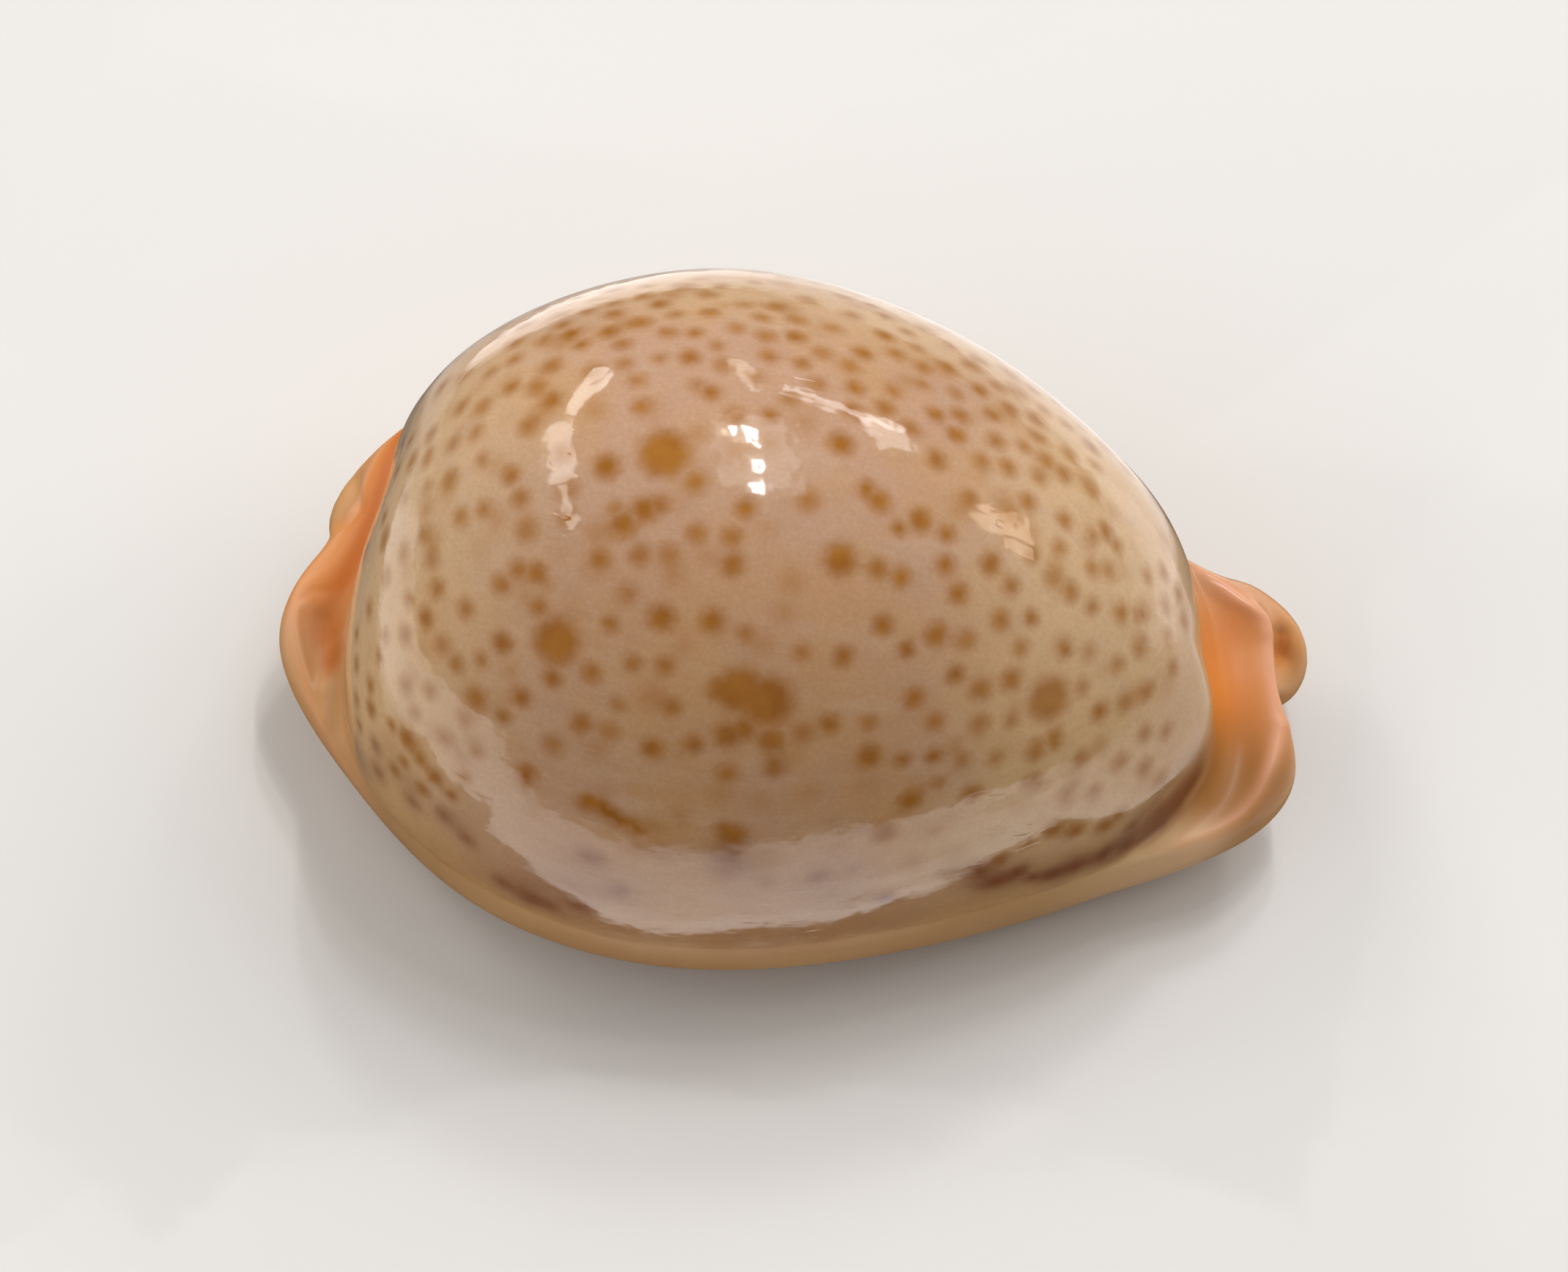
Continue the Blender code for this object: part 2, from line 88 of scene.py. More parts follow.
REAR = [
    # the columellar terminal
    [(-13.65, 5.6, 6.4), (-14.0, 6.05, 6.1), (-14.3, 6.05, 5.7), (-14.7, 5.9, 5.0), (-15.0, 5.65, 4.3),
     (-15.0, 5.4, 3.4), (-14.4, 4.9, 1.9), (-12.8, 4.3, 0.45), (-12.2, 3.4, 0.6), (-11.9, 2.8, 1.5)],
    [(-14.0, 4.1, 6.1), (-14.55, 4.15, 5.85), (-15.05, 4.2, 5.5), (-15.4, 4.15, 4.7), (-15.85, 4.0, 4.25),
     (-16.1, 3.75, 3.2), (-15.6, 3.5, 1.9), (-14.2, 3.3, 0.9), (-13.6, 2.9, 1.0), (-13.3, 2.6, 1.9)],
    # the notch at the mouth of the rear canal
    [(-14.2, 2.1, 5.9), (-14.95, 2.0, 5.65), (-15.65, 2.05, 5.3), (-15.9, 2.15, 4.9), (-16.0, 2.25, 4.5),
     (-15.95, 2.25, 4.1), (-15.5, 2.3, 3.6), (-14.9, 2.3, 3.3), (-14.2, 2.2, 3.2), (-13.5, 2.0, 3.2)],
    # the longer labral terminal, dished behind its rim
    [(-14.52, 0.5, 5.65), (-15.45, 0.45, 5.35), (-16.35, 0.75, 5.1), (-16.6, 0.85, 4.8), (-16.65, 0.95, 4.3),
     (-16.55, 1.0, 3.8), (-16.0, 1.3, 3.0), (-15.2, 1.5, 2.6), (-14.5, 1.6, 2.7), (-13.8, 1.6, 3.0)],
    [(-14.75, -1.25, 5.45), (-15.8, -1.25, 4.75), (-16.75, -1.2, 4.95), (-17.05, -1.25, 4.6), (-17.18, -1.25, 4.1),
     (-17.12, -1.2, 3.4), (-16.6, -0.9, 2.2), (-15.6, -0.4, 1.25), (-14.95, 0.35, 1.4), (-14.45, 0.95, 2.25)],
    [(-14.7, -3.45, 5.05), (-15.2, -3.7, 4.65), (-15.7, -3.9, 4.45), (-15.88, -4.0, 4.05), (-15.92, -4.02, 3.6),
     (-15.78, -3.9, 3.0), (-15.2, -3.5, 1.7), (-14.25, -2.35, 0.7), (-13.95, -0.6, 0.65), (-13.75, 0.45, 1.6)],
]
FRONT_LABRAL = [
    [(14.15, -4.7, 5.0), (14.75, -4.8, 4.65), (15.25, -4.8, 4.5), (15.45, -4.9, 4.0), (15.52, -4.93, 3.6),
     (15.42, -4.88, 3.0), (14.9, -4.7, 1.7), (13.2, -3.9, 0.45), (12.6, -2.2, 0.7), (12.4, -1.4, 1.6)],
    [(15.4, -2.8, 5.3), (16.2, -3.05, 4.65), (17.2, -3.2, 4.7), (17.5, -3.35, 4.3), (17.65, -3.42, 3.8),
     (17.6, -3.4, 3.1), (17.0, -3.2, 1.9), (15.5, -2.7, 0.8), (14.8, -1.6, 1.0), (14.5, -0.8, 2.0)],
    [(15.65, -1.45, 5.8), (16.55, -1.45, 4.8), (17.8, -1.5, 4.95), (18.35, -1.6, 4.55), (18.62, -1.68, 4.0),
     (18.65, -1.7, 3.3), (18.2, -1.6, 2.2), (17.0, -1.3, 1.2), (16.5, -0.6, 1.4), (16.1, 0.0, 2.3)],
    [(15.35, -0.4, 6.4), (16.3, -0.1, 5.05), (18.0, -0.05, 5.0), (18.3, -0.05, 4.7), (18.4, -0.05, 4.2),
     (18.35, 0.05, 3.6), (17.9, 0.3, 2.9), (17.2, 0.5, 2.5), (16.6, 0.6, 2.6), (15.9, 0.7, 2.9)],
]

# Modelled relief of the ends: height, radius and the points (x, y) that each ridge or hollow runs through.
RELIEF = [
    # rear labral terminal: its pit, the ridge behind the pit, the fold of the saddle, the rim
    (-0.16, 0.50, [(-15.55, -1.0), (-15.42, -1.75), (-15.25, -2.45)]),
    (0.06, 0.26, [(-15.8, -0.45), (-15.35, -0.85), (-15.08, -1.45), (-15.02, -2.15), (-15.08, -2.75), (-15.25, -3.5)]),
    (-0.03, 0.14, [(-16.65, -0.45), (-16.2, 0.0), (-15.65, 0.05)]),
    (0.07, 0.20, [(-16.6, 0.25), (-16.72, -0.4), (-16.68, -1.2), (-16.42, -1.95), (-16.05, -2.85), (-15.65, -3.85), (-15.05, -4.9)]),
    # the groove between the saddle and the columellar terminal
    (-0.22, 0.20, [(-15.45, 4.9), (-15.35, 4.1), (-15.12, 3.2), (-15.55, 2.65)]),
    # front: the crest from the dome round the canal, and down the labral terminal
    (0.09, 0.34, [(13.95, 5.1), (14.75, 5.05), (15.2, 4.8), (15.75, 4.4), (16.35, 4.1), (16.85, 3.75), (17.05, 3.3)]),
    (0.04, 0.20, [(17.1, 3.2), (17.3, 2.5), (17.6, 1.5), (18.05, 0.0)]),
    (0.08, 0.28, [(18.05, 0.0), (17.9, -1.35), (17.65, -2.35), (17.3, -3.35), (16.65, -4.2), (15.9, -4.85)]),
    # the pit between the crest and the columellar terminal, a shallow dip at the corner of the dome
    (-0.34, 0.32, [(17.72, 3.7), (17.8, 3.1)]),
    (-0.12, 1.00, [(16.2, -1.1)]),
]


# ------------------------------------------------------------------ aperture
def aperture_mid(x):
    """The aperture's centre line, bent towards the spire at the rear."""
    return np.interp(x, [-14, -11, -7, -2, 4, 9, 13, 16], [1.9, 1.0, 0.0, -0.75, -0.95, -0.55, 0.3, 1.1])


def aperture_half(x):
    """Half the aperture's width: it widens towards the front."""
    return np.interp(x, [-14, -11, -6, 0, 6, 11, 14, 16], [0.85, 0.85, 0.95, 1.1, 1.35, 1.5, 1.3, 1.0])


def base_rise(x):
    return 0.0035 * max(0.0, abs(x) - 9.0) ** 2.2


def side_meridian(x, y, labral):
    """The ten rings where a side wall passes (x, y): a superellipse from the widest level down to the base ridge."""
    mid, half = float(aperture_mid(x)), float(aperture_half(x))
    sign = -1.0 if labral else 1.0
    ridge = mid + sign * (half + (LABRAL_RIDGE if labral else COLUMELLAR_RIDGE))
    low, xb = base_rise(x), x * BASE_INSET
    if labral:      # the dome runs straight into the thickened margin
        wide = float(np.interp(x, [-14, -3, 8, 13], [4.3, 4.0, 4.0, 4.0]))
        rows = [(x, y + 0.05, wide + 1.1), (x, y + 0.01, wide + 0.55), (x, y, wide)]
        angles, power = (14, 28, 43, 60), 2 / 2.3
    else:
        wide = float(np.interp(x, [-12, -3, 8, 12], [7.0, 7.4, 7.2, 6.7]))
        rows = [(x, y, wide)]
        angles, power = (11, 22, 34, 46, 59, 73), 2 / 2.25
    for a in angles:
        rows.append((x * (1 - 0.04 * a / 90), ridge + (y - ridge) * cos(radians(a)) ** power,
                     low + (wide - low) * (1 - sin(radians(a)) ** power)))
    rows.append((xb, ridge, low))
    rows.append((xb, mid + sign * (half + LIP_ROUND), low + 0.22))
    rows.append((xb, mid + sign * half, low + LIP_DEPTH))
    return rows


def meridians():
    rows = list(FRONT_COLUMELLAR)
    rows += [side_meridian(x, y, False) for x, y in COLUMELLAR_SIDE]
    rows += REAR
    rows += [side_meridian(x, y, True) for x, y in LABRAL_SIDE]
    rows += FRONT_LABRAL
    return np.array(rows, float)


# ------------------------------------------------------------------- splines
def smooth(a, b, x):
    t = np.clip((x - a) / (b - a), 0, 1)
    return t * t * (3 - 2 * t)


def around(points, knots, period, t):
    """Smooth closed curve through points (K, ...) at the knots, read at t."""
    count = len(knots)
    h = np.diff(np.append(knots, knots[0] + period))
    lhs, rhs = np.zeros((count, count)), np.zeros(points.shape)
    for i in range(count):
        a, b, nxt = h[i - 1], h[i], (i + 1) % count
        lhs[i, i - 1] += a
        lhs[i, i] += 2 * (a + b)
        lhs[i, nxt] += b
        rhs[i] = 6 * ((points[nxt] - points[i]) / b - (points[i] - points[i - 1]) / a)
    bend = np.linalg.solve(lhs, rhs.reshape(count, -1)).reshape(points.shape)
    t = np.mod(t - knots[0], period) + knots[0]
    i = np.clip(np.searchsorted(knots, t, side="right") - 1, 0, count - 1)
    j = (i + 1) % count
    shape = (slice(None),) + (None,) * (points.ndim - 1)
    gap, s = h[i][shape], (t - knots[i])[shape]
    p, q = (gap - s) / gap, s / gap
    return p * points[i] + q * points[j] + ((p ** 3 - p) * bend[i] + (q ** 3 - q) * bend[j]) * gap ** 2 / 6


def down(points, steps):
    """Smooth open curve down each meridian (N, J, 3), level at the top, with steps samples in each gap."""
    n, rows, _ = points.shape
    h = np.linalg.norm(np.diff(points, axis=1), axis=2) ** 0.75
    lhs, rhs = np.zeros((n, rows, rows)), np.zeros((n, rows, 3))
    for i in range(1, rows - 1):
        a, b = h[:, i - 1], h[:, i]
        lhs[:, i, i - 1], lhs[:, i, i], lhs[:, i, i + 1] = a, 2 * (a + b), b
        rhs[:, i] = 6 * ((points[:, i + 1] - points[:, i]) / b[:, None] - (points[:, i] - points[:, i - 1]) / a[:, None])
    start = points[:, 1] - points[:, 0]
    chord = np.linalg.norm(start, axis=1)
    start[:, 2] = 0
    start *= (1.004 * chord / h[:, 0] / np.linalg.norm(start, axis=1))[:, None]
    lhs[:, 0, 0], lhs[:, 0, 1] = 2 * h[:, 0], h[:, 0]
    rhs[:, 0] = 6 * ((points[:, 1] - points[:, 0]) / h[:, :1] - start)
    lhs[:, -1, -1] = 1
    bend = np.linalg.solve(lhs, rhs)
    out = []
    for i in range(rows - 1):
        for k in range(steps[i]):
            q = k / steps[i]
            p = 1 - q
            out.append(p * points[:, i] + q * points[:, i + 1]
                       + ((p ** 3 - p) * bend[:, i] + (q ** 3 - q) * bend[:, i + 1]) * (h[:, i] ** 2)[:, None] / 6)
    out.append(points[:, -1])
    return np.stack(out, 1)


# ---------------------------------------------------------------------- loft
def dome(xi, eta, zeta):
    bulge = np.maximum(eta, 0) * zeta * (SHOULDER[0] + SHOULDER[1] * xi)
    low = DOME_Z - LABRAL_DROP * smooth(0.1, 0.8, -eta / np.maximum(np.hypot(xi, eta), 1e-9))
    return np.stack([DOME_HALF_LENGTH * xi + HUMP_SHIFT * (1 - xi ** 2),
                     DOME_MID_Y + DOME_HALF_WIDTH * eta + bulge,
                     low + (DORSUM_Z - low) * zeta], -1)


def cavity(xi, eta, zeta):
    return np.stack([(DOME_HALF_LENGTH - WALL) * xi + HUMP_SHIFT * (1 - xi ** 2),
                     DOME_MID_Y + (DOME_HALF_WIDTH - WALL) * eta,
                     DOME_Z + (DORSUM_Z - WALL - DOME_Z) * zeta], -1)


def knots_of(rings):
    path = 0.6 * rings[:, 5] + 0.4 * rings[:, 0]
    step = np.linalg.norm(np.roll(path, -1, 0) - path, axis=1) ** 0.8
    total = np.concatenate([[0], np.cumsum(step)])
    return total[:-1], total[-1]


def columns(rings, count):
    """Positions of count meridians, as evenly spaced as the dome foot, the outline and the lips allow, and the teeth's phase there."""
    knots, period = knots_of(rings)
    fine = np.linspace(0, period, 6001)
    at = around(rings, knots, period, fine)
    step = np.linalg.norm(np.diff(at[:, [0, 5, 9]], axis=0), axis=2)
    dense = 1 + 1.6 * smooth(11.5, 14.5, np.abs(at[1:, 5, 0]))
    length = np.concatenate([[0], np.cumsum((step ** 4).mean(1) ** 0.25 * dense)])
    t = np.interp(np.arange(count) * length[-1] / count, length, fine)
    front = len(FRONT_COLUMELLAR)
    rear = front + len(COLUMELLAR_SIDE) - 1
    rear_last = rear + len(REAR) + 1
    front_last = rear_last + len(LABRAL_SIDE) - 1
    edge = np.interp(t, fine, at[:, 9, 0])
    phase, lip = np.zeros(count), np.zeros(count)
    for first, last, teeth in ((front, rear, TEETH_COLUMELLAR), (rear_last, front_last, TEETH_LABRAL)):
        x0, x1 = np.interp([knots[first], knots[last]], fine, at[:, 9, 0])
        on = (t >= knots[first]) & (t <= knots[last])
        phase[on] = ((edge[on] - x0) / (x1 - x0) * teeth)
        fade = np.minimum(edge[on] - min(x0, x1), max(x0, x1) - edge[on])
        lip[on] = np.clip(fade / 0.8, 0, 1)
    return t, phase, lip


def loft(count, steps):
    rings_at = meridians()
    knots, period = knots_of(rings_at)
    t, phase, lip = columns(rings_at, count)
    rings = around(rings_at, knots, period, t)
    foot, edge = rings[:, 0], rings[:, 9]
    # the direction in which each meridian leaves the top of the dome
    disc = np.maximum(DOME_HALF_LENGTH ** 2 + 4 * HUMP_SHIFT * (HUMP_SHIFT - foot[:, 0]), 0)
    xi = (-DOME_HALF_LENGTH + np.sqrt(disc)) / (-2 * HUMP_SHIFT)
    angle = np.arctan2((foot[:, 1] - DOME_MID_Y) / DOME_HALF_WIDTH, xi)
    cx, cy, nil = np.cos(angle), np.sin(angle), np.zeros(len(angle))
    miss = foot - dome(cx, cy, nil)
    rows = []
    for a in DOME_LATITUDES:
        c, s = cos(radians(a)), sin(radians(a))
        rows.append(dome(c * cx, c * cy, s + nil) + c ** 6 * miss)
    rows += [rings[:, k] for k in range(10)]
    # the inside: throat, cavity foot and cavity roof
    inner = foot.copy()
    out = np.stack([foot[:, 0] / DOME_HALF_LENGTH ** 2, foot[:, 1] / DOME_HALF_WIDTH ** 2], 1)
    inner[:, :2] -= out / np.linalg.norm(out, axis=1)[:, None] * WALL * 1.15
    inner[:, 2] += 0.3
    columellar = 0.5 + 0.5 * np.clip(edge[:, 1] - aperture_mid(edge[:, 0]), -1, 1)
    end = np.clip((np.abs(edge[:, 0]) - 10.5) / 4, 0, 1)
    reach = inner - edge
    for part, lift, end_lift in ((0.17, 1.5 + 1.0 * columellar, 0.25), (0.62, 1.35 + 1.3 * columellar, 0.75)):
        row = edge + reach * np.array([part, part, 0])
        row[:, 2] = edge[:, 2] + lift * (1 - end) + end_lift * end
        rows.append(row)
    rows.append(inner)
    at_foot = inner - cavity(cx, cy, nil)
    for a in CAVITY_LATITUDES:
        c, s = cos(radians(a)), sin(radians(a))
        rows.append(cavity(c * cx, c * cy, s + nil) + c ** 6 * at_foot)
    points = np.stack(rows, 1)
    grid = down(points, steps)
    # teeth: ridges across both lips, highest at the aperture edge
    lip_row = sum(steps[:18])
    edge_row = sum(steps[:19])
    throat_row = sum(steps[:20])
    crest = -np.cos(2 * pi * phase) * lip * 0.5
    for row in range(lip_row - steps[17] + 1, throat_row):
        f = (row - (lip_row - steps[17])) / (edge_row - lip_row + steps[17]) if row <= edge_row \
            else (throat_row - row) / (throat_row - edge_row)
        outward = edge - points[:, 20]
        outward = outward / np.linalg.norm(outward, axis=1)[:, None]
        grid[:, row] += outward * (crest * TOOTH_HEIGHT * sin(pi / 2 * f))[:, None]
    return grid


# ------------------------------------------------------------- fine surface
# samples in each gap down a meridian: dome, end bands, under and lip, throat, cavity
FINE_STEPS = [10] * 10 + [8, 9, 5, 4, 4, 4] + [6, 5, 5, 6, 4, 3] + [3] * 4
FINE_COLUMNS = 556
ROW_FOOT = sum(FINE_STEPS[:10])       # first row of the band below the dome
ROW_VALLEY = sum(FINE_STEPS[:11])
ROW_RIM = sum(FINE_STEPS[:12])
ROW_OUTLINE = sum(FINE_STEPS[:15])
ROW_BASE = sum(FINE_STEPS[:17])
ROW_LIP = sum(FINE_STEPS[:18])
ROW_EDGE = sum(FINE_STEPS[:19])
ROW_THROAT = sum(FINE_STEPS[:20])


def grid_normals(grid):
    across = np.roll(grid, -1, 0) - np.roll(grid, 1, 0)
    along = np.zeros_like(grid)
    along[:, 1:-1] = grid[:, 2:] - grid[:, :-2]
    along[:, 0], along[:, -1] = grid[:, 1] - grid[:, 0], grid[:, -1] - grid[:, -2]
    n = np.cross(along, across)
    n /= np.maximum(np.linalg.norm(n, axis=-1, keepdims=True), 1e-12)
    n[:, 0], n[:, -1] = (0, 0, 1), (0, 0, -1)
    return n


def relief(grid):
    """Raise the ridges and sink the hollows of the ends, along the surface's normals."""
    normal = grid_normals(grid)
    if normal[0, 20, 2] < 0:
        normal = -normal
    band = slice(ROW_FOOT + 1, ROW_OUTLINE + 1)
    x, y = grid[:, band, 0], grid[:, band, 1]
    lift = np.zeros_like(x)
    for height, radius, path in RELIEF:
        path = np.array(path, float)
        if len(path) == 1:
            near = np.hypot(x - path[0, 0], y - path[0, 1])
        else:
            near = np.full(x.shape, 99.0)
            for a, b in zip(path[:-1], path[1:]):
                d = b - a
                f = np.clip(((x - a[0]) * d[0] + (y - a[1]) * d[1]) / (d @ d), 0, 1)
                near = np.minimum(near, np.hypot(x - a[0] - f * d[0], y - a[1] - f * d[1]))
        lift += height * np.exp(-(near / radius) ** 2)
    up = normal[:, band, 2]
    foot = np.clip(np.arange(band.stop - band.start) / 3.0, 0, 1)[None]
    grid[:, band] += normal[:, band] * (lift * smooth(0.1, 0.5, up) * foot)[..., None]


def noise_field(points, scale, seed, octaves=1):
    """Smooth noise, about -1 to 1, with features of the given size in mm."""
    shift = Vector((seed * 17.3, seed * -9.1, seed * 5.7))
    out = np.empty(len(points))
    for i, p in enumerate(points.tolist()):
        v = Vector(p) / scale + shift
        out[i] = noise.noise(v) if octaves == 1 else noise.fractal(v, 0.9, 2.1, octaves)
    return out


# ------------------------------------------------------------------ markings
# Golden-brown spots of the dorsum: distance along the shell in mm, angle in degrees round it
# from the top (columellar side positive), radius in mm.
SPOTS = [
    (-0.8, -29, 0.84), (-1.6, -28, 0.74), (-2.3, -28, 0.46), (-1.9, -34, 0.46), (-0.4, -34, 0.42), (-1.3, -33, 0.40),
    (-5.3, -1, 0.78), (-8.0, -25, 0.72), (8.7, -23, 0.72), (1.0, -10, 0.52),
    (-7.1, -3, 0.43), (-4.6, -20, 0.43), (2.9, -35, 0.41), (-2.9, -20, 0.38), (4.6, -17, 0.38), (2.0, -2, 0.38),
    (3.5, -3, 0.38), (2.9, -5, 0.23), (6.1, -6, 0.38), (7.3, -21, 0.38), (-4.4, -37, 0.38), (4.1, -26, 0.36),
    (-9.8, -26, 0.36), (-1.4, 20, 0.36), (4.4, 11, 0.33), (0.9, 20, 0.33), (5.1, -11, 0.33), (6.7, -13, 0.33),
    (2.8, -17, 0.33), (10.6, -24, 0.33), (-7.9, -30, 0.31), (1.5, 26, 0.31), (7.1, 5, 0.31), (8.5, 5, 0.31),
    (9.0, -6, 0.31), (10.8, -6, 0.31), (3.2, -11, 0.31), (1.6, -22, 0.31), (5.4, -22, 0.31), (4.6, -4, 0.28),
    (10.4, 6, 0.26), (7.8, -12, 0.26),
    (0.5, 4, 0.41), (-5.7, -8, 0.43), (-6.3, -10, 0.44), (1.6, -1, 0.31), (-2.3, -6, 0.33), (-3.1, 5, 0.30), (-1.9, 6, 0.27),
    (-4.0, 8, 0.30), (0.7, 13, 0.31), (4.6, -8, 0.32), (9.1, -29, 0.30), (3.7, -19, 0.28),
]
SMALL_SPOTS = [
    (-6.2, 25), (-7.7, 23), (-9.1, 19), (-9.9, 19), (-10.8, 16), (-11.6, 15), (-12.5, 18), (-13.3, 20), (-12.4, 10),
    (-11.7, 8), (-10.7, 10), (-9.5, 13), (-8.6, 16), (-7.2, 16), (-7.0, 12), (-5.8, 18), (-4.8, 18), (-4.7, 28),
    (-4.4, 23), (-3.3, 26), (-2.3, 27), (-1.3, 31), (-0.2, 24), (0.3, 30), (-2.4, 19), (-5.9, 13), (-4.5, 9),
    (-6.2, 5), (-4.1, -4), (-11.4, -1), (-10.3, -4), (-9.8, -7), (-11.8, -9), (-12.4, 3), (-13.3, 3), (-12.4, -3),
    (-13.1, -3), (-13.9, -3), (-13.3, 8), (-13.0, -11), (-10.1, -18), (-9.6, -16), (-9.0, -16), (-12.6, -15),
    (-13.2, -21), (-6.9, -14), (-5.6, -13), (-4.6, -13), (-6.6, -8), (-5.2, -7), (-3.8, -10), (-2.6, -10),
    (-2.5, -13), (-5.8, -18), (-8.7, -21), (-6.2, -22), (-1.8, -21), (-11.3, -30), (-10.5, -29), (-6.7, -28),
    (-5.4, -26), (-4.2, -26), (-5.7, -32), (-3.9, -31), (-11.9, -28), (2.1, 15), (3.0, 18), (4.2, 19), (3.8, 24),
    (5.0, 22), (6.1, 21), (3.6, 13), (5.5, 18), (5.8, 13), (6.7, 14), (7.1, 22), (3.9, 6), (5.3, 8), (7.6, 14),
    (8.3, 18), (8.2, 13), (9.2, 13), (5.1, 2), (-0.3, -4), (2.3, -10), (7.5, -3), (8.2, -5), (9.5, 5), (9.9, 7),
    (11.6, 4), (10.1, 0), (9.6, -1), (9.8, -7), (11.5, -4), (0.2, -22), (9.0, -15), (9.8, -14), (11.0, -15),
    (9.7, -20), (6.3, -23), (12.1, -18), (12.5, -5), (1.5, -31), (2.8, -30), (-0.3, -37), (0.6, -32), (4.1, -35),
    (6.1, -34), (7.2, -34), (8.5, -31), (5.0, -29), (-7.6, -39), (-6.8, -35), (-8.5, -45), (-9.4, -37), (-3.0, -36),
    (-1.7, -39), (-0.1, -38), (-5.8, -36),
]
# Golden and dark marks low on the flanks, and purple-brown blotches of the margins.
FLANK_SPOTS = [
    (8.7, -54, 0.23), (9.6, -51, 0.38), (10.4, -52, 0.38), (11.4, -52, 0.38), (11.8, -49, 0.28), (12.4, -56, 0.26),
    (13.1, -52, 0.28), (14.1, -51, 0.46), (13.7, -54, 0.4), (13.2, -57, 0.35), (8.0, -57, 0.31), (4.6, -42, 0.38),
    (3.9, -49, 0.38), (8.5, -32, 0.33), (9.1, -31, 0.26), (-1.2, -50, 0.46), (-1.6, -49, 0.31), (-8.4, -46, 0.26),
    (-10.4, -49, 0.2), (-10.2, -44, 0.2), (-11.6, -52, 0.33), (-12.6, -47, 0.4), (-12.8, -53, 0.2), (-13.3, -46, 0.2),
    (-14.1, -45, 0.31), (-14.2, -40, 0.28), (-14.1, -33, 0.2), (-13.9, -28, 0.2), (-14.7, -47, 0.24), (-14.9, -38, 0.24),
    (-14.5, -53, 0.24), (-15.0, -30, 0.22), (-13.0, -57, 0.26), (-11.9, -57, 0.26), (-12.2, -50, 0.30), (-11.0, -55, 0.24),
]
PLUM = [
    (8.0, -66, 0.54), (7.4, -61, 0.43), (8.5, -63, 0.38), (9.2, -67, 0.31), (9.9, -67, 0.46), (10.7, -67, 0.41),
    (11.5, -65, 0.43), (12.3, -65, 0.36), (13.3, -62, 0.36), (14.0, -60, 0.31), (4.2, -66, 0.31), (1.8, -58, 0.26),
    (3.0, -57, 0.2), (-1.2, -56, 0.64), (0.2, -59, 0.31), (-3.5, -55, 0.38), (-4.9, -65, 0.31), (-6.1, -59, 0.41),
    (-6.2, -72, 0.38), (-7.1, -76, 0.36), (-8.0, -75, 0.38), (-8.9, -73, 0.31), (-10.2, -65, 0.31), (-11.2, -61, 0.36),
    (-12.4, -62, 0.31), (-13.6, -62, 0.36), (-13.9, -54, 0.31),
]
# one golden streak above the labral margin
FLANK_SPOTS += [(-6.3 + 0.16 * i, -47.0 - 0.33 * i, 0.34 - 0.010 * i) for i in range(13)]
# Wide, faint purple-brown clouds low on the labral flank: distance, angle, radius, strength.
HAZE = [
    (6.6, -60, 0.8, 0.3), (8.2, -64, 1.1, 0.5), (10.4, -65, 1.0, 0.55), (12.4, -61, 1.0, 0.5), (-4.6, -66, 1.0, 0.3),
    (-6.4, -66, 1.1, 0.4), (-8.2, -72, 1.0, 0.4), (-10.4, -62, 1.0, 0.35), (-12.6, -58, 0.9, 0.4), (2.5, -63, 1.0, 0.2),
    (-1.2, -54, 0.62, 0.8), (1.9, -58, 0.4, 0.5),
]
CENTRE_Z = 3.0      # height of the axis that the angles are measured round


def centres(table, flat, angles):
    """The surface points nearest to (x, angle) pairs, and their radii."""
    out = []
    for row in table:
        x, a = row[0], row[1]
        reach = 11.0
        d = (flat[:, 0] - x) ** 2 + (np.radians(angles - a) * reach) ** 2
        out.append(flat[np.argmin(d)])
    return np.array(out)


def blotches(points, centre, radii, strength, warp, edge=3.0):
    """Soft-edged blotches: 1 inside, falling off round the radius; warp (mm) roughens the outline."""
    keep = np.ones(len(points))
    for c, r, s in zip(centre, radii, strength):
        near = np.abs(points[:, 0] - c[0]) < 2.4 * r + 0.5
        d = np.linalg.norm(points[near] - c, axis=1)
        d = np.maximum(d + warp[near] * min(1.0, r / 0.45), 0)
        keep[near] *= 1 - s * np.exp(-(d / (1.14 * r)) ** edge)
    return 1 - keep


def spot_field(points, centre, radii, strength):
    """For the spot whose edge lies nearest: its number, the way from its middle, how far inside the edge, radius, strength."""
    best, way = np.full(len(points), -3.0), np.full((len(points), 3), 2.0)
    radius, gain, key = np.full(len(points), 0.3), np.zeros(len(points)), np.full(len(points), -1.0)
    for i, (c, r, s) in enumerate(zip(centre, radii, strength)):
        soft = 0.25 + 0.17 * r
        near = np.nonzero(np.abs(points[:, 0] - c[0]) < r + 3 * soft)[0]
        offset = points[near] - c
        value = (r - np.linalg.norm(offset, axis=1)) / soft
        better = value > best[near]
        best[near[better]], way[near[better]] = value[better], offset[better]
        radius[near[better]], gain[near[better]], key[near[better]] = r, s, i
    return {"key": key, "way": way, "value": best, "radius": radius, "gain": gain}


def scatter(rng, count, x_range, angle_range, flat, angles, gap, taken):
    """Random places on the surface, no closer together than gap, nor to the places already taken."""
    out, have = [], [np.array(p) for p in taken]
    for _ in range(count * 30):
        if len(out) == count:
            break
        x, a = rng.uniform(*x_range), rng.uniform(*angle_range)
        d = (flat[:, 0] - x) ** 2 + (np.radians(angles - a) * 11.0) ** 2
        p = flat[np.argmin(d)]
        if all(np.linalg.norm(p - q) > gap for q in have):
            out.append(p)
            have.append(p)
    return np.array(out)


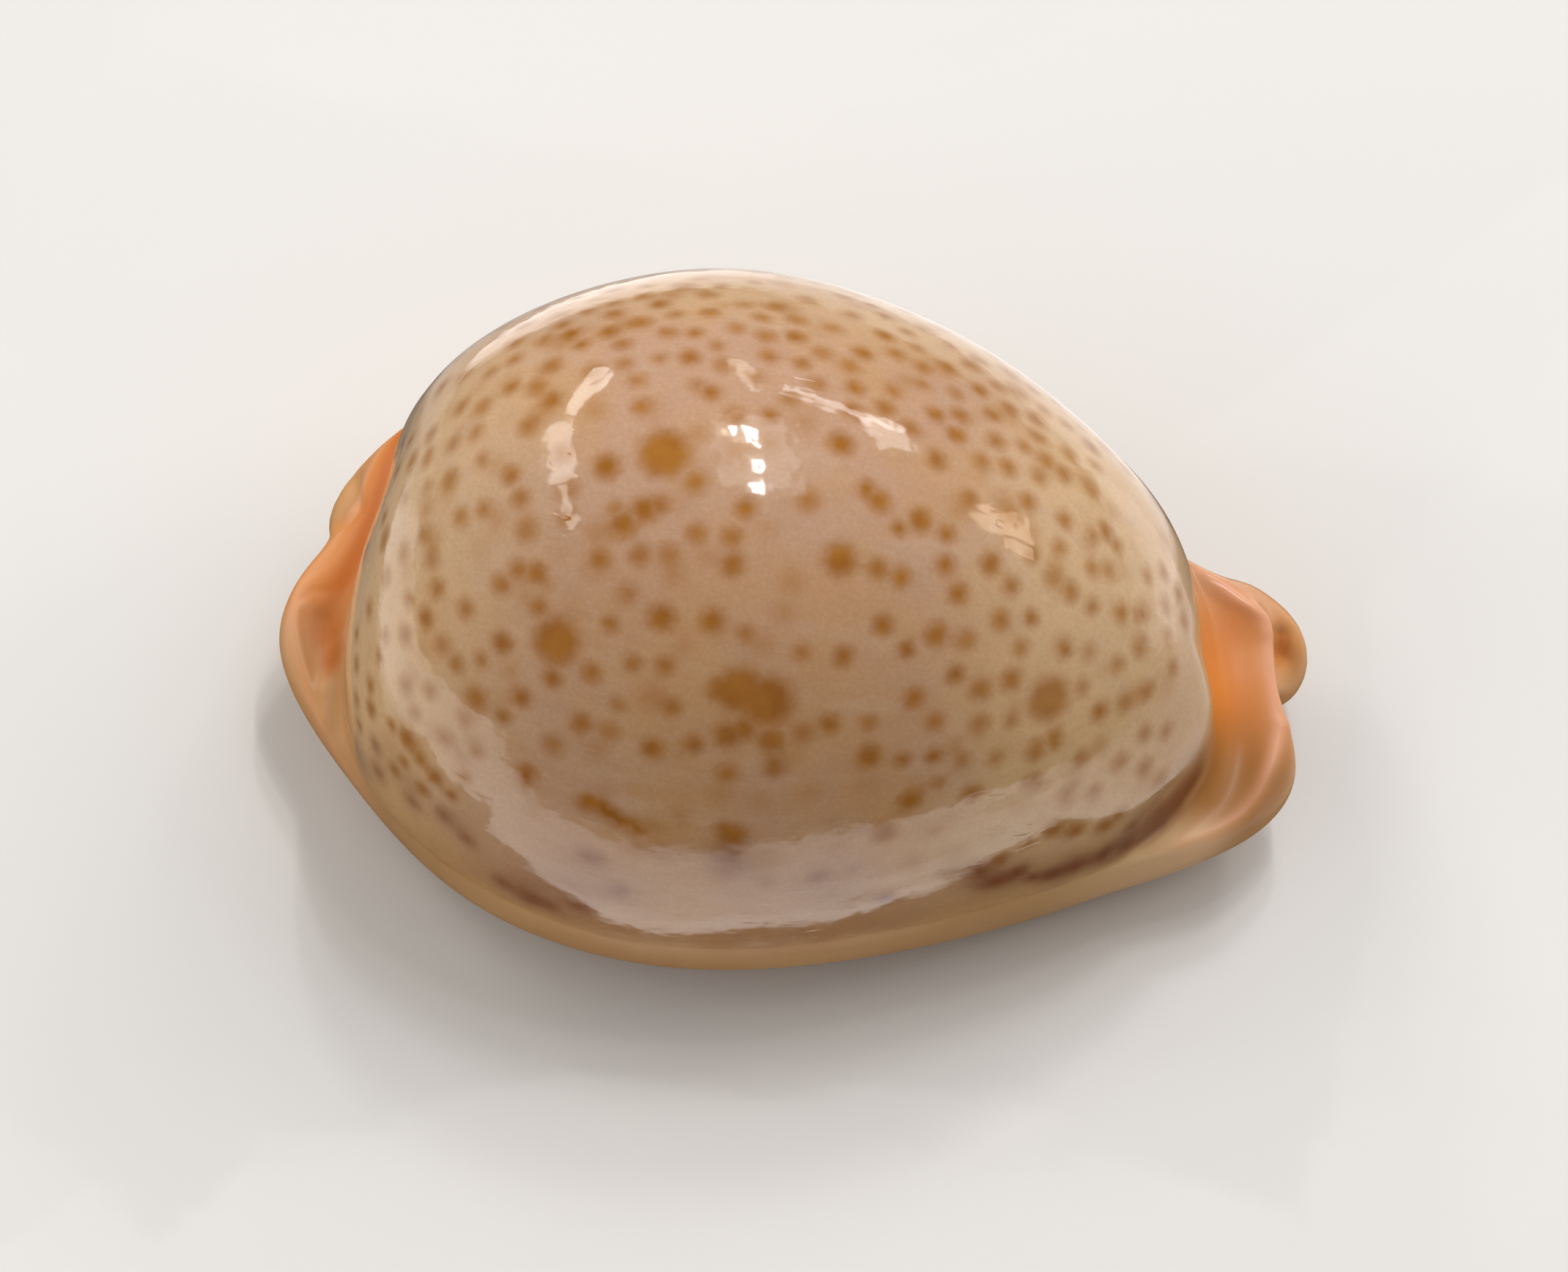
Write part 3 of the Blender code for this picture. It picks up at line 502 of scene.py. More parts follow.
def paint(grid, raw_columns):
    """Mask layers for every vertex of the grid, as a dict of (columns, rows) arrays."""
    n, rows, _ = grid.shape
    flat = grid.reshape(-1, 3)
    row = np.broadcast_to(np.arange(rows)[None], (n, rows)).reshape(-1)
    outer = row <= ROW_BASE
    dome_part = row <= ROW_FOOT
    angles = np.degrees(np.arctan2(flat[:, 1], flat[:, 2] - CENTRE_Z))
    on_dome = flat[dome_part]
    on_dome_angles = angles[dome_part]
    warp = 0.10 * noise_field(flat, 0.9, 1) + 0.05 * noise_field(flat, 0.35, 2)
    rng = np.random.default_rng(36)
    layers = {}

    spot_c = centres(SPOTS, on_dome, on_dome_angles)
    spot_r = np.array([s[2] for s in SPOTS])
    small_c = centres(SMALL_SPOTS, on_dome, on_dome_angles)
    flank_c = centres(FLANK_SPOTS, on_dome, on_dome_angles)
    flank_r = np.array([s[2] for s in FLANK_SPOTS])
    taken = np.concatenate([spot_c, small_c, flank_c])
    # small spots crowd the columellar shoulder and both ends of the dorsum
    for count, x_range, angle_range in ((46, (-11.5, 9.5), (9, 28)), (26, (4.5, 13.2), (-42, 9)), (20, (-13.9, -8.0), (-44, 8)),
                                        (16, (-15.6, -13.8), (-50, 50))):
        taken = np.concatenate([taken, scatter(rng, count, x_range, angle_range, on_dome, on_dome_angles, 0.95, taken)])
    small_c = np.concatenate([small_c, taken[len(spot_c) + len(small_c) + len(flank_c):]])
    small_r = rng.uniform(0.25, 0.38, len(small_c))
    # the columellar flank carries the same marks, smaller and closer
    hidden = scatter(rng, 150, (-13.5, 12.5), (27, 74), on_dome, on_dome_angles, 1.0, taken)
    hidden_r = rng.uniform(0.2, 0.45, len(hidden))
    strength = np.concatenate([
        np.full(len(spot_c), 0.96), rng.uniform(0.65, 0.95, len(small_c)),
        rng.uniform(0.92, 1.0, len(flank_c)), rng.uniform(0.55, 0.95, len(hidden))])
    radii = np.concatenate([spot_r, small_r, flank_r, hidden_r])
    radii = 1.06 * radii + 0.05 * smooth(0.45, 0.7, radii)
    found = spot_field(flat, np.concatenate([spot_c, small_c, flank_c, hidden]), radii, strength)
    layers.update({"spot_" + k: v for k, v in found.items()})
    # spots of earlier layers, seen through the enamel: paler, softer
    deep = scatter(rng, 230, (-13.5, 12.8), (-56, 74), on_dome, on_dome_angles, 0.9, spot_c)
    found = spot_field(flat, deep, rng.uniform(0.22, 0.5, len(deep)), rng.uniform(0.15, 0.6, len(deep)))
    layers.update({"deep_" + k: v for k, v in found.items()})

    plum_c = centres(PLUM, flat[outer], angles[outer])
    more = scatter(rng, 26, (-12.5, 12.0), (76, 104), flat[outer], angles[outer], 1.3, plum_c)
    layers["plum"] = blotches(flat, np.concatenate([plum_c, more]),
                              np.concatenate([[p[2] * 1.15 for p in PLUM], rng.uniform(0.35, 0.8, len(more))]),
                              np.concatenate([[0.28 if abs(p[0]) < 4.0 else 0.65 if p[0] < 0 else 0.93 for p in PLUM], rng.uniform(0.4, 0.85, len(more))]), warp * 1.6, 2.0)
    haze = centres(HAZE, flat[outer], angles[outer])
    layers["haze"] = blotches(flat, haze, np.array([h[2] for h in HAZE]), np.array([h[3] for h in HAZE]), warp * 2.5, 1.6)

    # how far round to an end each meridian lies: 0 on the sides, 1 at the ends
    outline = grid[:, ROW_OUTLINE]
    foot = grid[:, ROW_FOOT]
    front = smooth(11.6, 14.6, foot[:, 0] - 0.9 * np.clip(-foot[:, 1] - 3.0, 0, 9))
    rear = smooth(10.9, 13.2, -foot[:, 0] - 0.35 * np.clip(-foot[:, 1] - 2.0, 0, 9))
    ends = np.maximum(front, rear)
    e = np.repeat(ends, rows)
    r = row.astype(float)
    soft = np.repeat(front, rows)
    up = 3.4 * smooth(-1.0, 2.5, flat[:, 1])      # the rear seam climbs towards the columellar side
    crisp = smooth(-1.6, -3.0, flat[:, 1])        # the front orange has a sharp edge on the labral side only
    start = np.where(soft > 0.5, (1 - crisp) * smooth(ROW_FOOT - 15.0, ROW_FOOT + 4.0, r) + crisp * smooth(ROW_FOOT - 2.0, ROW_FOOT + 1.0, r),
                     smooth(ROW_FOOT - 2.0 - up, ROW_FOOT + 0.5 - up, r))
    # on the columellar side the colour of each end fades into the flank
    e = e * np.where((flat[:, 1] > 4.0) & (r > ROW_FOOT - 11), smooth(9.8, np.where(flat[:, 0] > 0, 13.6, 15.2), np.abs(flat[:, 0]) + 0.35 * noise_field(flat, 1.8, 11)), 1.0)
    orange = e * start * (1 - smooth(ROW_BASE - 6, ROW_BASE + 6, r) * 0.75)
    orange *= 1 - smooth(ROW_THROAT - 4, ROW_THROAT + 6, r)
    layers["ends"] = orange
    layers["olive"] = e * soft * (1 - crisp) * smooth(ROW_FOOT - 25.0, ROW_FOOT - 8.0, r) * (row <= ROW_FOOT + 3)
    layers["trough"] = e * np.exp(-((r - (ROW_VALLEY - 2.0)) / 5.5) ** 2)
    # pale pink along the rim of each end: partly paler colour, partly a painted highlight on the ridge
    layers["rim"] = e * np.exp(-((r - ROW_RIM - 0.2) / 2.6) ** 2) * np.where(flat[:, 0] > 0, 1 - 0.65 * smooth(0.5, -2.5, flat[:, 1]), 1.0)
    layers["outer"] = e * smooth(ROW_RIM + 2, ROW_OUTLINE, r)
    # cream callus of the base, creeping up both margins
    low = smooth(5.3, 3.0, flat[:, 2] + 0.6 * noise_field(flat, 2.6, 4) + 0.9 * (flat[:, 1] > 0) * 0.3)
    callus = np.maximum(low * (row > ROW_FOOT - 20), smooth(ROW_OUTLINE - 2, ROW_OUTLINE + 4, r))
    wave = r + 2.0 * noise_field(flat, 1.6, 7, 2)
    side = np.where(flat[:, 1] < 0, smooth(ROW_FOOT - 3, ROW_FOOT + 3, wave), smooth(ROW_OUTLINE - 6, ROW_OUTLINE + 3, r))
    layers["callus"] = np.clip(np.maximum(callus * smooth(ROW_FOOT - 2, ROW_FOOT + 5, r), side), 0, 1)
    # at the rear a strip of painted shade and a pale line mark where the dome meets the end
    back = e * (flat[:, 0] < 0)
    layers["seam_shade"] = back * np.exp(-((r - (ROW_FOOT - 4.0 - up)) / 3.0) ** 2)
    layers["line"] = back * np.exp(-((r - (ROW_FOOT + 0.2 - up)) / 1.0) ** 2) * smooth(-3.5, -1.0, flat[:, 1])
    # paler towards both ends, partly the shell's own colour and partly painted light, which also brightens the upper
    # columellar side
    along = flat[:, 0] + 0.6
    layers["tip"] = np.maximum(np.where(along > 0, smooth(4.0, 9.5, along) * (1 - 0.5 * smooth(12.0, 15.0, along)), smooth(6.5, 14.0, -along)),
                               0.8 * smooth(4.5, 8.0, flat[:, 1])) * (row <= ROW_FOOT)
    layers["tip"] *= np.where(flat[:, 1] > 0, smooth(6.6, 10.5, flat[:, 2]), 1.0)
    layers["inside"] = smooth(ROW_EDGE - 1, ROW_THROAT + 2, r)
    # the callus is satin, the dorsum glassy
    edge = np.where(flat[:, 1] < 0, smooth(ROW_FOOT - 5.0, ROW_FOOT + 4.0, wave), smooth(ROW_RIM - 4, ROW_OUTLINE, r))
    # the fold at the front labral end is dark brown, partly painted shade in the crease
    fold = smooth(10.8, 13.6, flat[:, 0] + 0.4 * noise_field(flat, 1.1, 13)) * smooth(-1.4, -3.4, flat[:, 1])
    layers["fold"] = fold * smooth(ROW_FOOT - 17, ROW_FOOT - 6, r) * (1 - smooth(ROW_FOOT - 1.5, ROW_FOOT + 0.5, r))
    edge = np.maximum(edge, fold * smooth(ROW_FOOT - 13, ROW_FOOT - 7, r))
    layers["satin"] = np.maximum(e * np.where(soft > 0.5, smooth(ROW_FOOT - 22.0, ROW_FOOT - 4.0, r), start), edge)
    # tan towards the labral side of each end, at the front darkened with painted shade; the pits of both ends; the rear
    # columellar terminal
    x, y = flat[:, 0], flat[:, 1]
    layers["tan"] = np.where(x > 0, smooth(1.0, -2.4, y), smooth(0.2, -2.6, y))
    layers["rear"] = (x < 0) * 1.0
    band = (r > ROW_FOOT - 1) & (r < ROW_OUTLINE + 8)
    # the pits: deeper orange, partly painted shade of the hollows
    pit = np.zeros(len(flat))
    for px, py, rx, ry in ((-16.2, -1.6, 0.55, 0.95), (-16.0, -2.4, 0.48, 0.85), (16.98, 3.12, 0.36, 0.62)):
        pit = np.maximum(pit, np.exp(-(((x - px) / rx) ** 2 + ((y - py) / ry) ** 2) ** 1.5))
    layers["pit"] = pit * band
    # the pale pink crest round the front canal: partly a paler band, partly a painted highlight along the ridge
    crest = np.zeros(len(flat))
    path = np.array([(13.0, 4.75), (13.9, 4.75), (14.4, 4.5), (14.95, 4.1), (15.55, 3.8), (16.05, 3.45), (16.3, 3.0), (16.5, 2.2),
                     (16.75, 1.2), (17.15, -0.3), (17.0, -1.6), (16.65, -2.75), (16.05, -3.75), (15.2, -4.6), (14.2, -5.1)])
    for a, b in zip(path[:-1], path[1:]):
        d = b - a
        f = np.clip(((x - a[0]) * d[0] + (y - a[1]) * d[1]) / (d @ d), 0, 1)
        crest = np.maximum(crest, np.exp(-(np.hypot(x - a[0] - f * d[0], y - a[1] - f * d[1]) / 0.24) ** 2))
    layers["crest"] = crest * band * smooth(13.0, 13.8, x) * (1 - 0.6 * smooth(-1.0, -3.0, y))
    # on the labral side everything is browner, and low on that flank the colour is darkened with painted shade
    layers["warm"] = smooth(-1.0, -6.0, y) * (row <= ROW_FOOT + 2)
    layers["low"] = smooth(8.6, 5.4, flat[:, 2]) * smooth(-1.0, -4.0, y) * (r < ROW_BASE + 3) \
        * (1 - smooth(9.0, 14.0, x) * smooth(ROW_FOOT - 1, ROW_FOOT + 3, r))
    layers["pale"] = smooth(7.0, 12.5, x) * smooth(-1.0, -4.0, y)
    layers["knob"] = e * smooth(-15.6, -16.2, x) * smooth(2.4, 3.2, y) * (r > ROW_VALLEY)
    return {k: v.reshape((n, rows) + v.shape[1:]) for k, v in layers.items()}


# --------------------------------------------------------------------- piece
def shell_object():
    grid = loft(FINE_COLUMNS, FINE_STEPS)
    relief(grid)
    grid[..., 2] = np.maximum(grid[..., 2] - BASE_FLAT, 0)
    low, high = grid.reshape(-1, 3).min(0), grid.reshape(-1, 3).max(0)
    grid[..., :2] -= (low[:2] + high[:2]) / 2
    grid *= SHELL_LENGTH / (high[0] - low[0])
    layers = paint(grid, None)
    n, rows, _ = grid.shape
    inner = grid[:, 1:-1].reshape(-1, 3)
    verts = np.concatenate([inner, grid[:, 0].mean(0)[None], grid[:, -1].mean(0)[None]]) * 0.001
    width = rows - 2
    i = np.arange(n)[:, None]
    j = np.arange(width - 1)[None]
    k = (i + 1) % n
    quads = np.stack([i * width + j, i * width + j + 1, k * width + j + 1, k * width + j], -1).reshape(-1, 4)
    ring = np.arange(n)
    nxt = (ring + 1) % n
    top = np.stack([np.full(n, n * width), ring * width, nxt * width], 1)
    bottom = np.stack([ring * width + width - 1, np.full(n, n * width + 1), nxt * width + width - 1], 1)
    faces = quads.tolist() + top.tolist() + bottom.tolist()
    mesh = bpy.data.meshes.new("cowrie_shell_surface")
    mesh.from_pydata(verts.tolist(), [], faces)
    bm = bmesh.new()
    bm.from_mesh(mesh)
    bmesh.ops.recalc_face_normals(bm, faces=bm.faces)
    bm.to_mesh(mesh)
    bm.free()
    mesh.shade_smooth()
    for name, values in layers.items():
        arrow = values.ndim == 3
        attribute = mesh.attributes.new(name, "FLOAT_VECTOR" if arrow else "FLOAT", "POINT")
        data = np.concatenate([values[:, 1:-1].reshape(-1), values[:, 0].mean(0).reshape(-1), values[:, -1].mean(0).reshape(-1)])
        attribute.data.foreach_set("vector" if arrow else "value", data.astype(np.float32))
    ob = bpy.data.objects.new("cowrie_shell_surface", mesh)
    bpy.context.scene.collection.objects.link(ob)
    return ob


# ------------------------------------------------------------------ material
class Nodes:
    """Small helpers to wire a shader."""

    def __init__(self, tree):
        self.tree = tree

    def add(self, kind, **settings):
        node = self.tree.nodes.new(kind)
        for name, value in settings.items():
            setattr(node, name, value)
        return node

    def link(self, a, b):
        self.tree.links.new(a, b)

    def layer(self, name):
        return self.add("ShaderNodeAttribute", attribute_type="GEOMETRY", attribute_name=name).outputs["Fac"]

    def spot(self, name):
        """How far inside the nearest spot's edge, in units of the edge's softness."""
        way = self.add("ShaderNodeAttribute", attribute_type="GEOMETRY", attribute_name=name + "_way").outputs["Vector"]
        length = self.add("ShaderNodeVectorMath", operation="LENGTH")
        self.link(way, length.inputs[0])
        radius = self.layer(name + "_radius")
        soft = self.math("ADD", self.math("MULTIPLY", radius, 0.17), 0.25)
        value = self.math("DIVIDE", self.math("SUBTRACT", radius, length.outputs["Value"]), soft)
        # the way is true only where all corners of a face belong to one spot; elsewhere the blended value serves
        key, plain = self.layer(name + "_key"), self.layer(name + "_value")
        one = self.math("LESS_THAN", self.math("ABSOLUTE", self.math("SUBTRACT", key, self.math("ROUND", key))), 0.003)
        return self.math("ADD", plain, self.math("MULTIPLY", one, self.math("SUBTRACT", value, plain)))

    def mix(self, factor, a, b, blend="MIX"):
        node = self.add("ShaderNodeMix", data_type="RGBA", blend_type=blend)
        node.clamp_factor = True
        for socket, value in ((node.inputs[0], factor), (node.inputs[6], a), (node.inputs[7], b)):
            if isinstance(value, tuple):
                socket.default_value = value + (1.0,)
            elif isinstance(value, (int, float)):
                socket.default_value = value
            else:
                self.link(value, socket)
        return node.outputs[2]

    def math(self, op, a, b=0.0, clamp=False):
        node = self.add("ShaderNodeMath", operation=op, use_clamp=clamp)
        for socket, value in zip(node.inputs, (a, b)):
            if isinstance(value, (int, float)):
                socket.default_value = value
            else:
                self.link(value, socket)
        return node.outputs[0]

    def noise(self, vector, scale, detail=2.0, roughness=0.5):
        node = self.add("ShaderNodeTexNoise")
        self.link(vector, node.inputs["Vector"])
        node.inputs["Scale"].default_value = scale
        node.inputs["Detail"].default_value = detail
        node.inputs["Roughness"].default_value = roughness
        return node.outputs["Fac"]

    def ramp(self, value, low, high):
        node = self.add("ShaderNodeMapRange", interpolation_type="SMOOTHSTEP")
        self.link(value, node.inputs["Value"])
        node.inputs["From Min"].default_value = low
        node.inputs["From Max"].default_value = high
        return node.outputs["Result"]


def enamel():
    material = bpy.data.materials.new("cowrie_enamel")
    material.use_nodes = True
    tree = material.node_tree
    shader = tree.nodes["Principled BSDF"]
    n = Nodes(tree)
    place = n.add("ShaderNodeTexCoord").outputs["Object"]
    streak = n.add("ShaderNodeMapping")
    streak.inputs["Scale"].default_value = (0.12, 1.0, 1.0)
    n.link(place, streak.inputs["Vector"])
    streak = streak.outputs["Vector"]

    broad = n.noise(place, 170.0, 3.0, 0.55)
    fine = n.noise(place, 900.0, 3.0, 0.6)
    lines = n.noise(streak, 700.0, 3.0, 0.6)

    colour = n.mix(n.ramp(broad, 0.36, 0.62), (0.49, 0.280, 0.140), (0.48, 0.290, 0.188))
    # paler ends, partly painted light, also on the upper columellar side
    colour = n.mix(n.layer("tip"), colour, (0.60, 0.400, 0.225))
    colour = n.mix(n.math("MULTIPLY", n.ramp(lines, 0.5, 0.72), 0.38), colour, (0.55, 0.38, 0.27))
    colour = n.mix(n.math("MULTIPLY", n.ramp(fine, 0.45, 0.75), 0.16), colour, (0.36, 0.22, 0.13))
    speck = n.noise(place, 7000.0, 1.0, 0.7)
    colour = n.mix(n.math("MULTIPLY", n.ramp(speck, 0.45, 0.75), 0.13), colour, (0.33, 0.18, 0.10))
    colour = n.mix(n.math("MULTIPLY", n.ramp(speck, 0.50, 0.28), 0.13), colour, (0.66, 0.45, 0.30))
    # marks: the edge of each is roughened by fine noise
    ragged = n.math("MULTIPLY", n.math("SUBTRACT", n.noise(place, 2600.0, 1.0, 0.5), 0.5), 0.7)
    deep = n.math("MULTIPLY", n.ramp(n.math("ADD", n.spot("deep"), ragged), -1.5, 1.5), n.layer("deep_gain"))
    colour = n.mix(deep, colour, (0.36, 0.15, 0.03))
    mark = n.math("MULTIPLY", n.ramp(n.math("ADD", n.spot("spot"), ragged), -1.15, 1.15), n.layer("spot_gain"))
    mark = n.math("MULTIPLY", mark, n.math("SUBTRACT", 1.0, n.math("MULTIPLY", n.layer("tip"), 0.14)))
    spots = n.mix(n.ramp(fine, 0.35, 0.7), (0.30, 0.105, 0.004), (0.36, 0.14, 0.012))
    colour = n.mix(mark, colour, spots)
    # painted shade: a dark grey strip where the dome meets the rear end
    colour = n.mix(n.math("MULTIPLY", n.layer("seam_shade"), 0.62), colour, (0.27, 0.19, 0.135))
    colour = n.mix(n.layer("haze"), colour, (0.22, 0.085, 0.035))
    colour = n.mix(n.layer("plum"), colour, (0.205, 0.056, 0.010))
    # dark fold at the front, partly painted shade in the crease
    colour = n.mix(n.math("MULTIPLY", n.layer("fold"), 0.92), colour, (0.20, 0.062, 0.006))
    cream = n.mix(n.ramp(broad, 0.35, 0.65), (0.50, 0.28, 0.115), (0.55, 0.335, 0.16))
    cream = n.mix(n.layer("pale"), cream, (0.64, 0.40, 0.20))
    colour = n.mix(n.layer("callus"), colour, cream)
    deep_orange = n.mix(n.layer("rear"), (0.72, 0.215, 0.020), (0.52, 0.135, 0.010))
    flesh = n.mix(n.layer("trough"), (0.68, 0.26, 0.065), deep_orange)
    # tan of the labral lobes; at the front its dark brown is partly painted shade
    flesh = n.mix(n.layer("tan"), flesh, n.mix(n.layer("rear"), (0.36, 0.150, 0.035), (0.59, 0.33, 0.160)))
    colour = n.mix(n.math("MULTIPLY", n.layer("olive"), 0.75), colour, (0.44, 0.26, 0.085))
    colour = n.mix(n.layer("ends"), colour, flesh)
    colour = n.mix(n.layer("knob"), colour, (0.60, 0.30, 0.13))
    colour = n.mix(n.math("MULTIPLY", n.layer("outer"), 0.8), colour, (0.52, 0.27, 0.085))
    # pale pink rim: partly paler colour, partly a painted highlight on the ridge
    colour = n.mix(n.math("MULTIPLY", n.layer("rim"), 0.45), colour, (0.74, 0.37, 0.21))
    # pale pink crest: partly a paler band, partly a painted highlight along the ridge
    colour = n.mix(n.math("MULTIPLY", n.layer("crest"), 0.75), colour, (0.76, 0.38, 0.225))
    colour = n.mix(n.math("MULTIPLY", n.layer("line"), 0.7), colour, (0.74, 0.50, 0.27))
    # pits: deeper orange, partly painted shade of the hollows
    colour = n.mix(n.math("MULTIPLY", n.layer("pit"), 0.85), colour, (0.48, 0.135, 0.012))
    colour = n.mix(n.layer("warm"), colour, n.mix(1.0, colour, (1.0, 0.955, 0.86), "MULTIPLY"))
    # painted shade: darker low on the labral flank
    colour = n.mix(n.layer("low"), colour, n.mix(1.0, colour, (0.88, 0.78, 0.60), "MULTIPLY"))
    colour = n.mix(n.layer("inside"), colour, (0.50, 0.36, 0.33))
    n.link(colour, shader.inputs["Base Color"])

    rough = n.math("ADD", n.math("MULTIPLY", fine, 0.05), 0.05)
    rough = n.math("ADD", rough, n.math("MULTIPLY", n.layer("satin"), 0.36))
    rough = n.math("ADD", rough, n.math("MULTIPLY", n.layer("pit"), 0.25))
    n.link(rough, shader.inputs["Roughness"])
    shader.inputs["IOR"].default_value = 1.5
    shader.inputs["Specular IOR Level"].default_value = 0.4
    shader.inputs["Subsurface Weight"].default_value = 0.12
    shader.inputs["Subsurface Radius"].default_value = (0.0012, 0.0006, 0.0003)
    shader.inputs["Subsurface Scale"].default_value = 1.0

    # long swells, blisters about a millimetre wide, fine lines along the shell, scattered short wrinkles
    swell = n.noise(place, 260.0, 2.0, 0.5)
    blisters = n.noise(place, 1150.0, 1.0, 0.45)
    hair = n.add("ShaderNodeMapping")
    hair.inputs["Scale"].default_value = (0.08, 1.0, 1.0)
    n.link(place, hair.inputs["Vector"])
    hair = hair.outputs["Vector"]
    fibres = n.noise(hair, 2200.0, 1.0, 0.5)
    ripple = n.noise(place, 2500.0, 0.0, 0.5)
    wrinkles = n.math("MULTIPLY", n.ramp(n.noise(hair, 3300.0, 0.0, 0.5), 0.62, 0.78), n.ramp(n.noise(place, 210.0, 1.0, 0.5), 0.50, 0.64))
    height = n.math("ADD", n.math("MULTIPLY", swell, 1.0), n.math("MULTIPLY", lines, 0.14))
    height = n.math("ADD", height, n.math("MULTIPLY", blisters, 0.36))
    height = n.math("ADD", height, n.math("MULTIPLY", fibres, 0.08))
    height = n.math("ADD", height, n.math("MULTIPLY", ripple, 0.07))
    height = n.math("ADD", height, n.math("MULTIPLY", wrinkles, 0.10))
    height = n.math("MULTIPLY", height, n.math("SUBTRACT", 1.0, n.math("MULTIPLY", n.layer("satin"), 0.85)))
    bump = n.add("ShaderNodeBump")
    bump.inputs["Strength"].default_value = 1.0
    bump.inputs["Distance"].default_value = 0.00005
    n.link(height, bump.inputs["Height"])
    n.link(bump.outputs["Normal"], shader.inputs["Normal"])
    return material


# --------------------------------------------------------------------- stage
def floor_material():
    material = bpy.data.materials.new("pale_floor")
    material.use_nodes = True
    shader = material.node_tree.nodes["Principled BSDF"]
    shader.inputs["Base Color"].default_value = (0.72, 0.71, 0.695, 1.0)
    shader.inputs["Roughness"].default_value = 0.75
    shader.inputs["Specular IOR Level"].default_value = 0.2
    return material


def softbox(name, ends, width, radiance, colour=(1.0, 1.0, 1.0)):
    """A rectangular light whose long middle line runs between two points (metres), facing the shell, of even radiance."""
    a, b = Vector(ends[0]), Vector(ends[1])
    middle, long = (a + b) / 2, b - a
    back = (middle - Vector((0, 0, 0.012))).normalized()
    across = long.normalized()
    across = (across - back * across.dot(back)).normalized()
    up = back.cross(across)
    light = bpy.data.lights.new(name, "AREA")
    light.shape = "RECTANGLE"
    light.size, light.size_y = long.length, width
    light.energy = radiance * pi * long.length * width
    light.color = colour
    ob = bpy.data.objects.new(name, light)
    ob.matrix_world = Matrix.Translation(middle) @ Matrix((across, up, back)).transposed().to_4x4()
    bpy.context.scene.collection.objects.link(ob)
    return ob


def aim(azimuth, elevation, distance):
    """A point in the given direction from the shell, degrees, as a one-item tuple."""
    a, e = radians(azimuth), radians(elevation)
    return ((distance * cos(e) * cos(a), distance * cos(e) * sin(a), 0.010 + distance * sin(e)),)


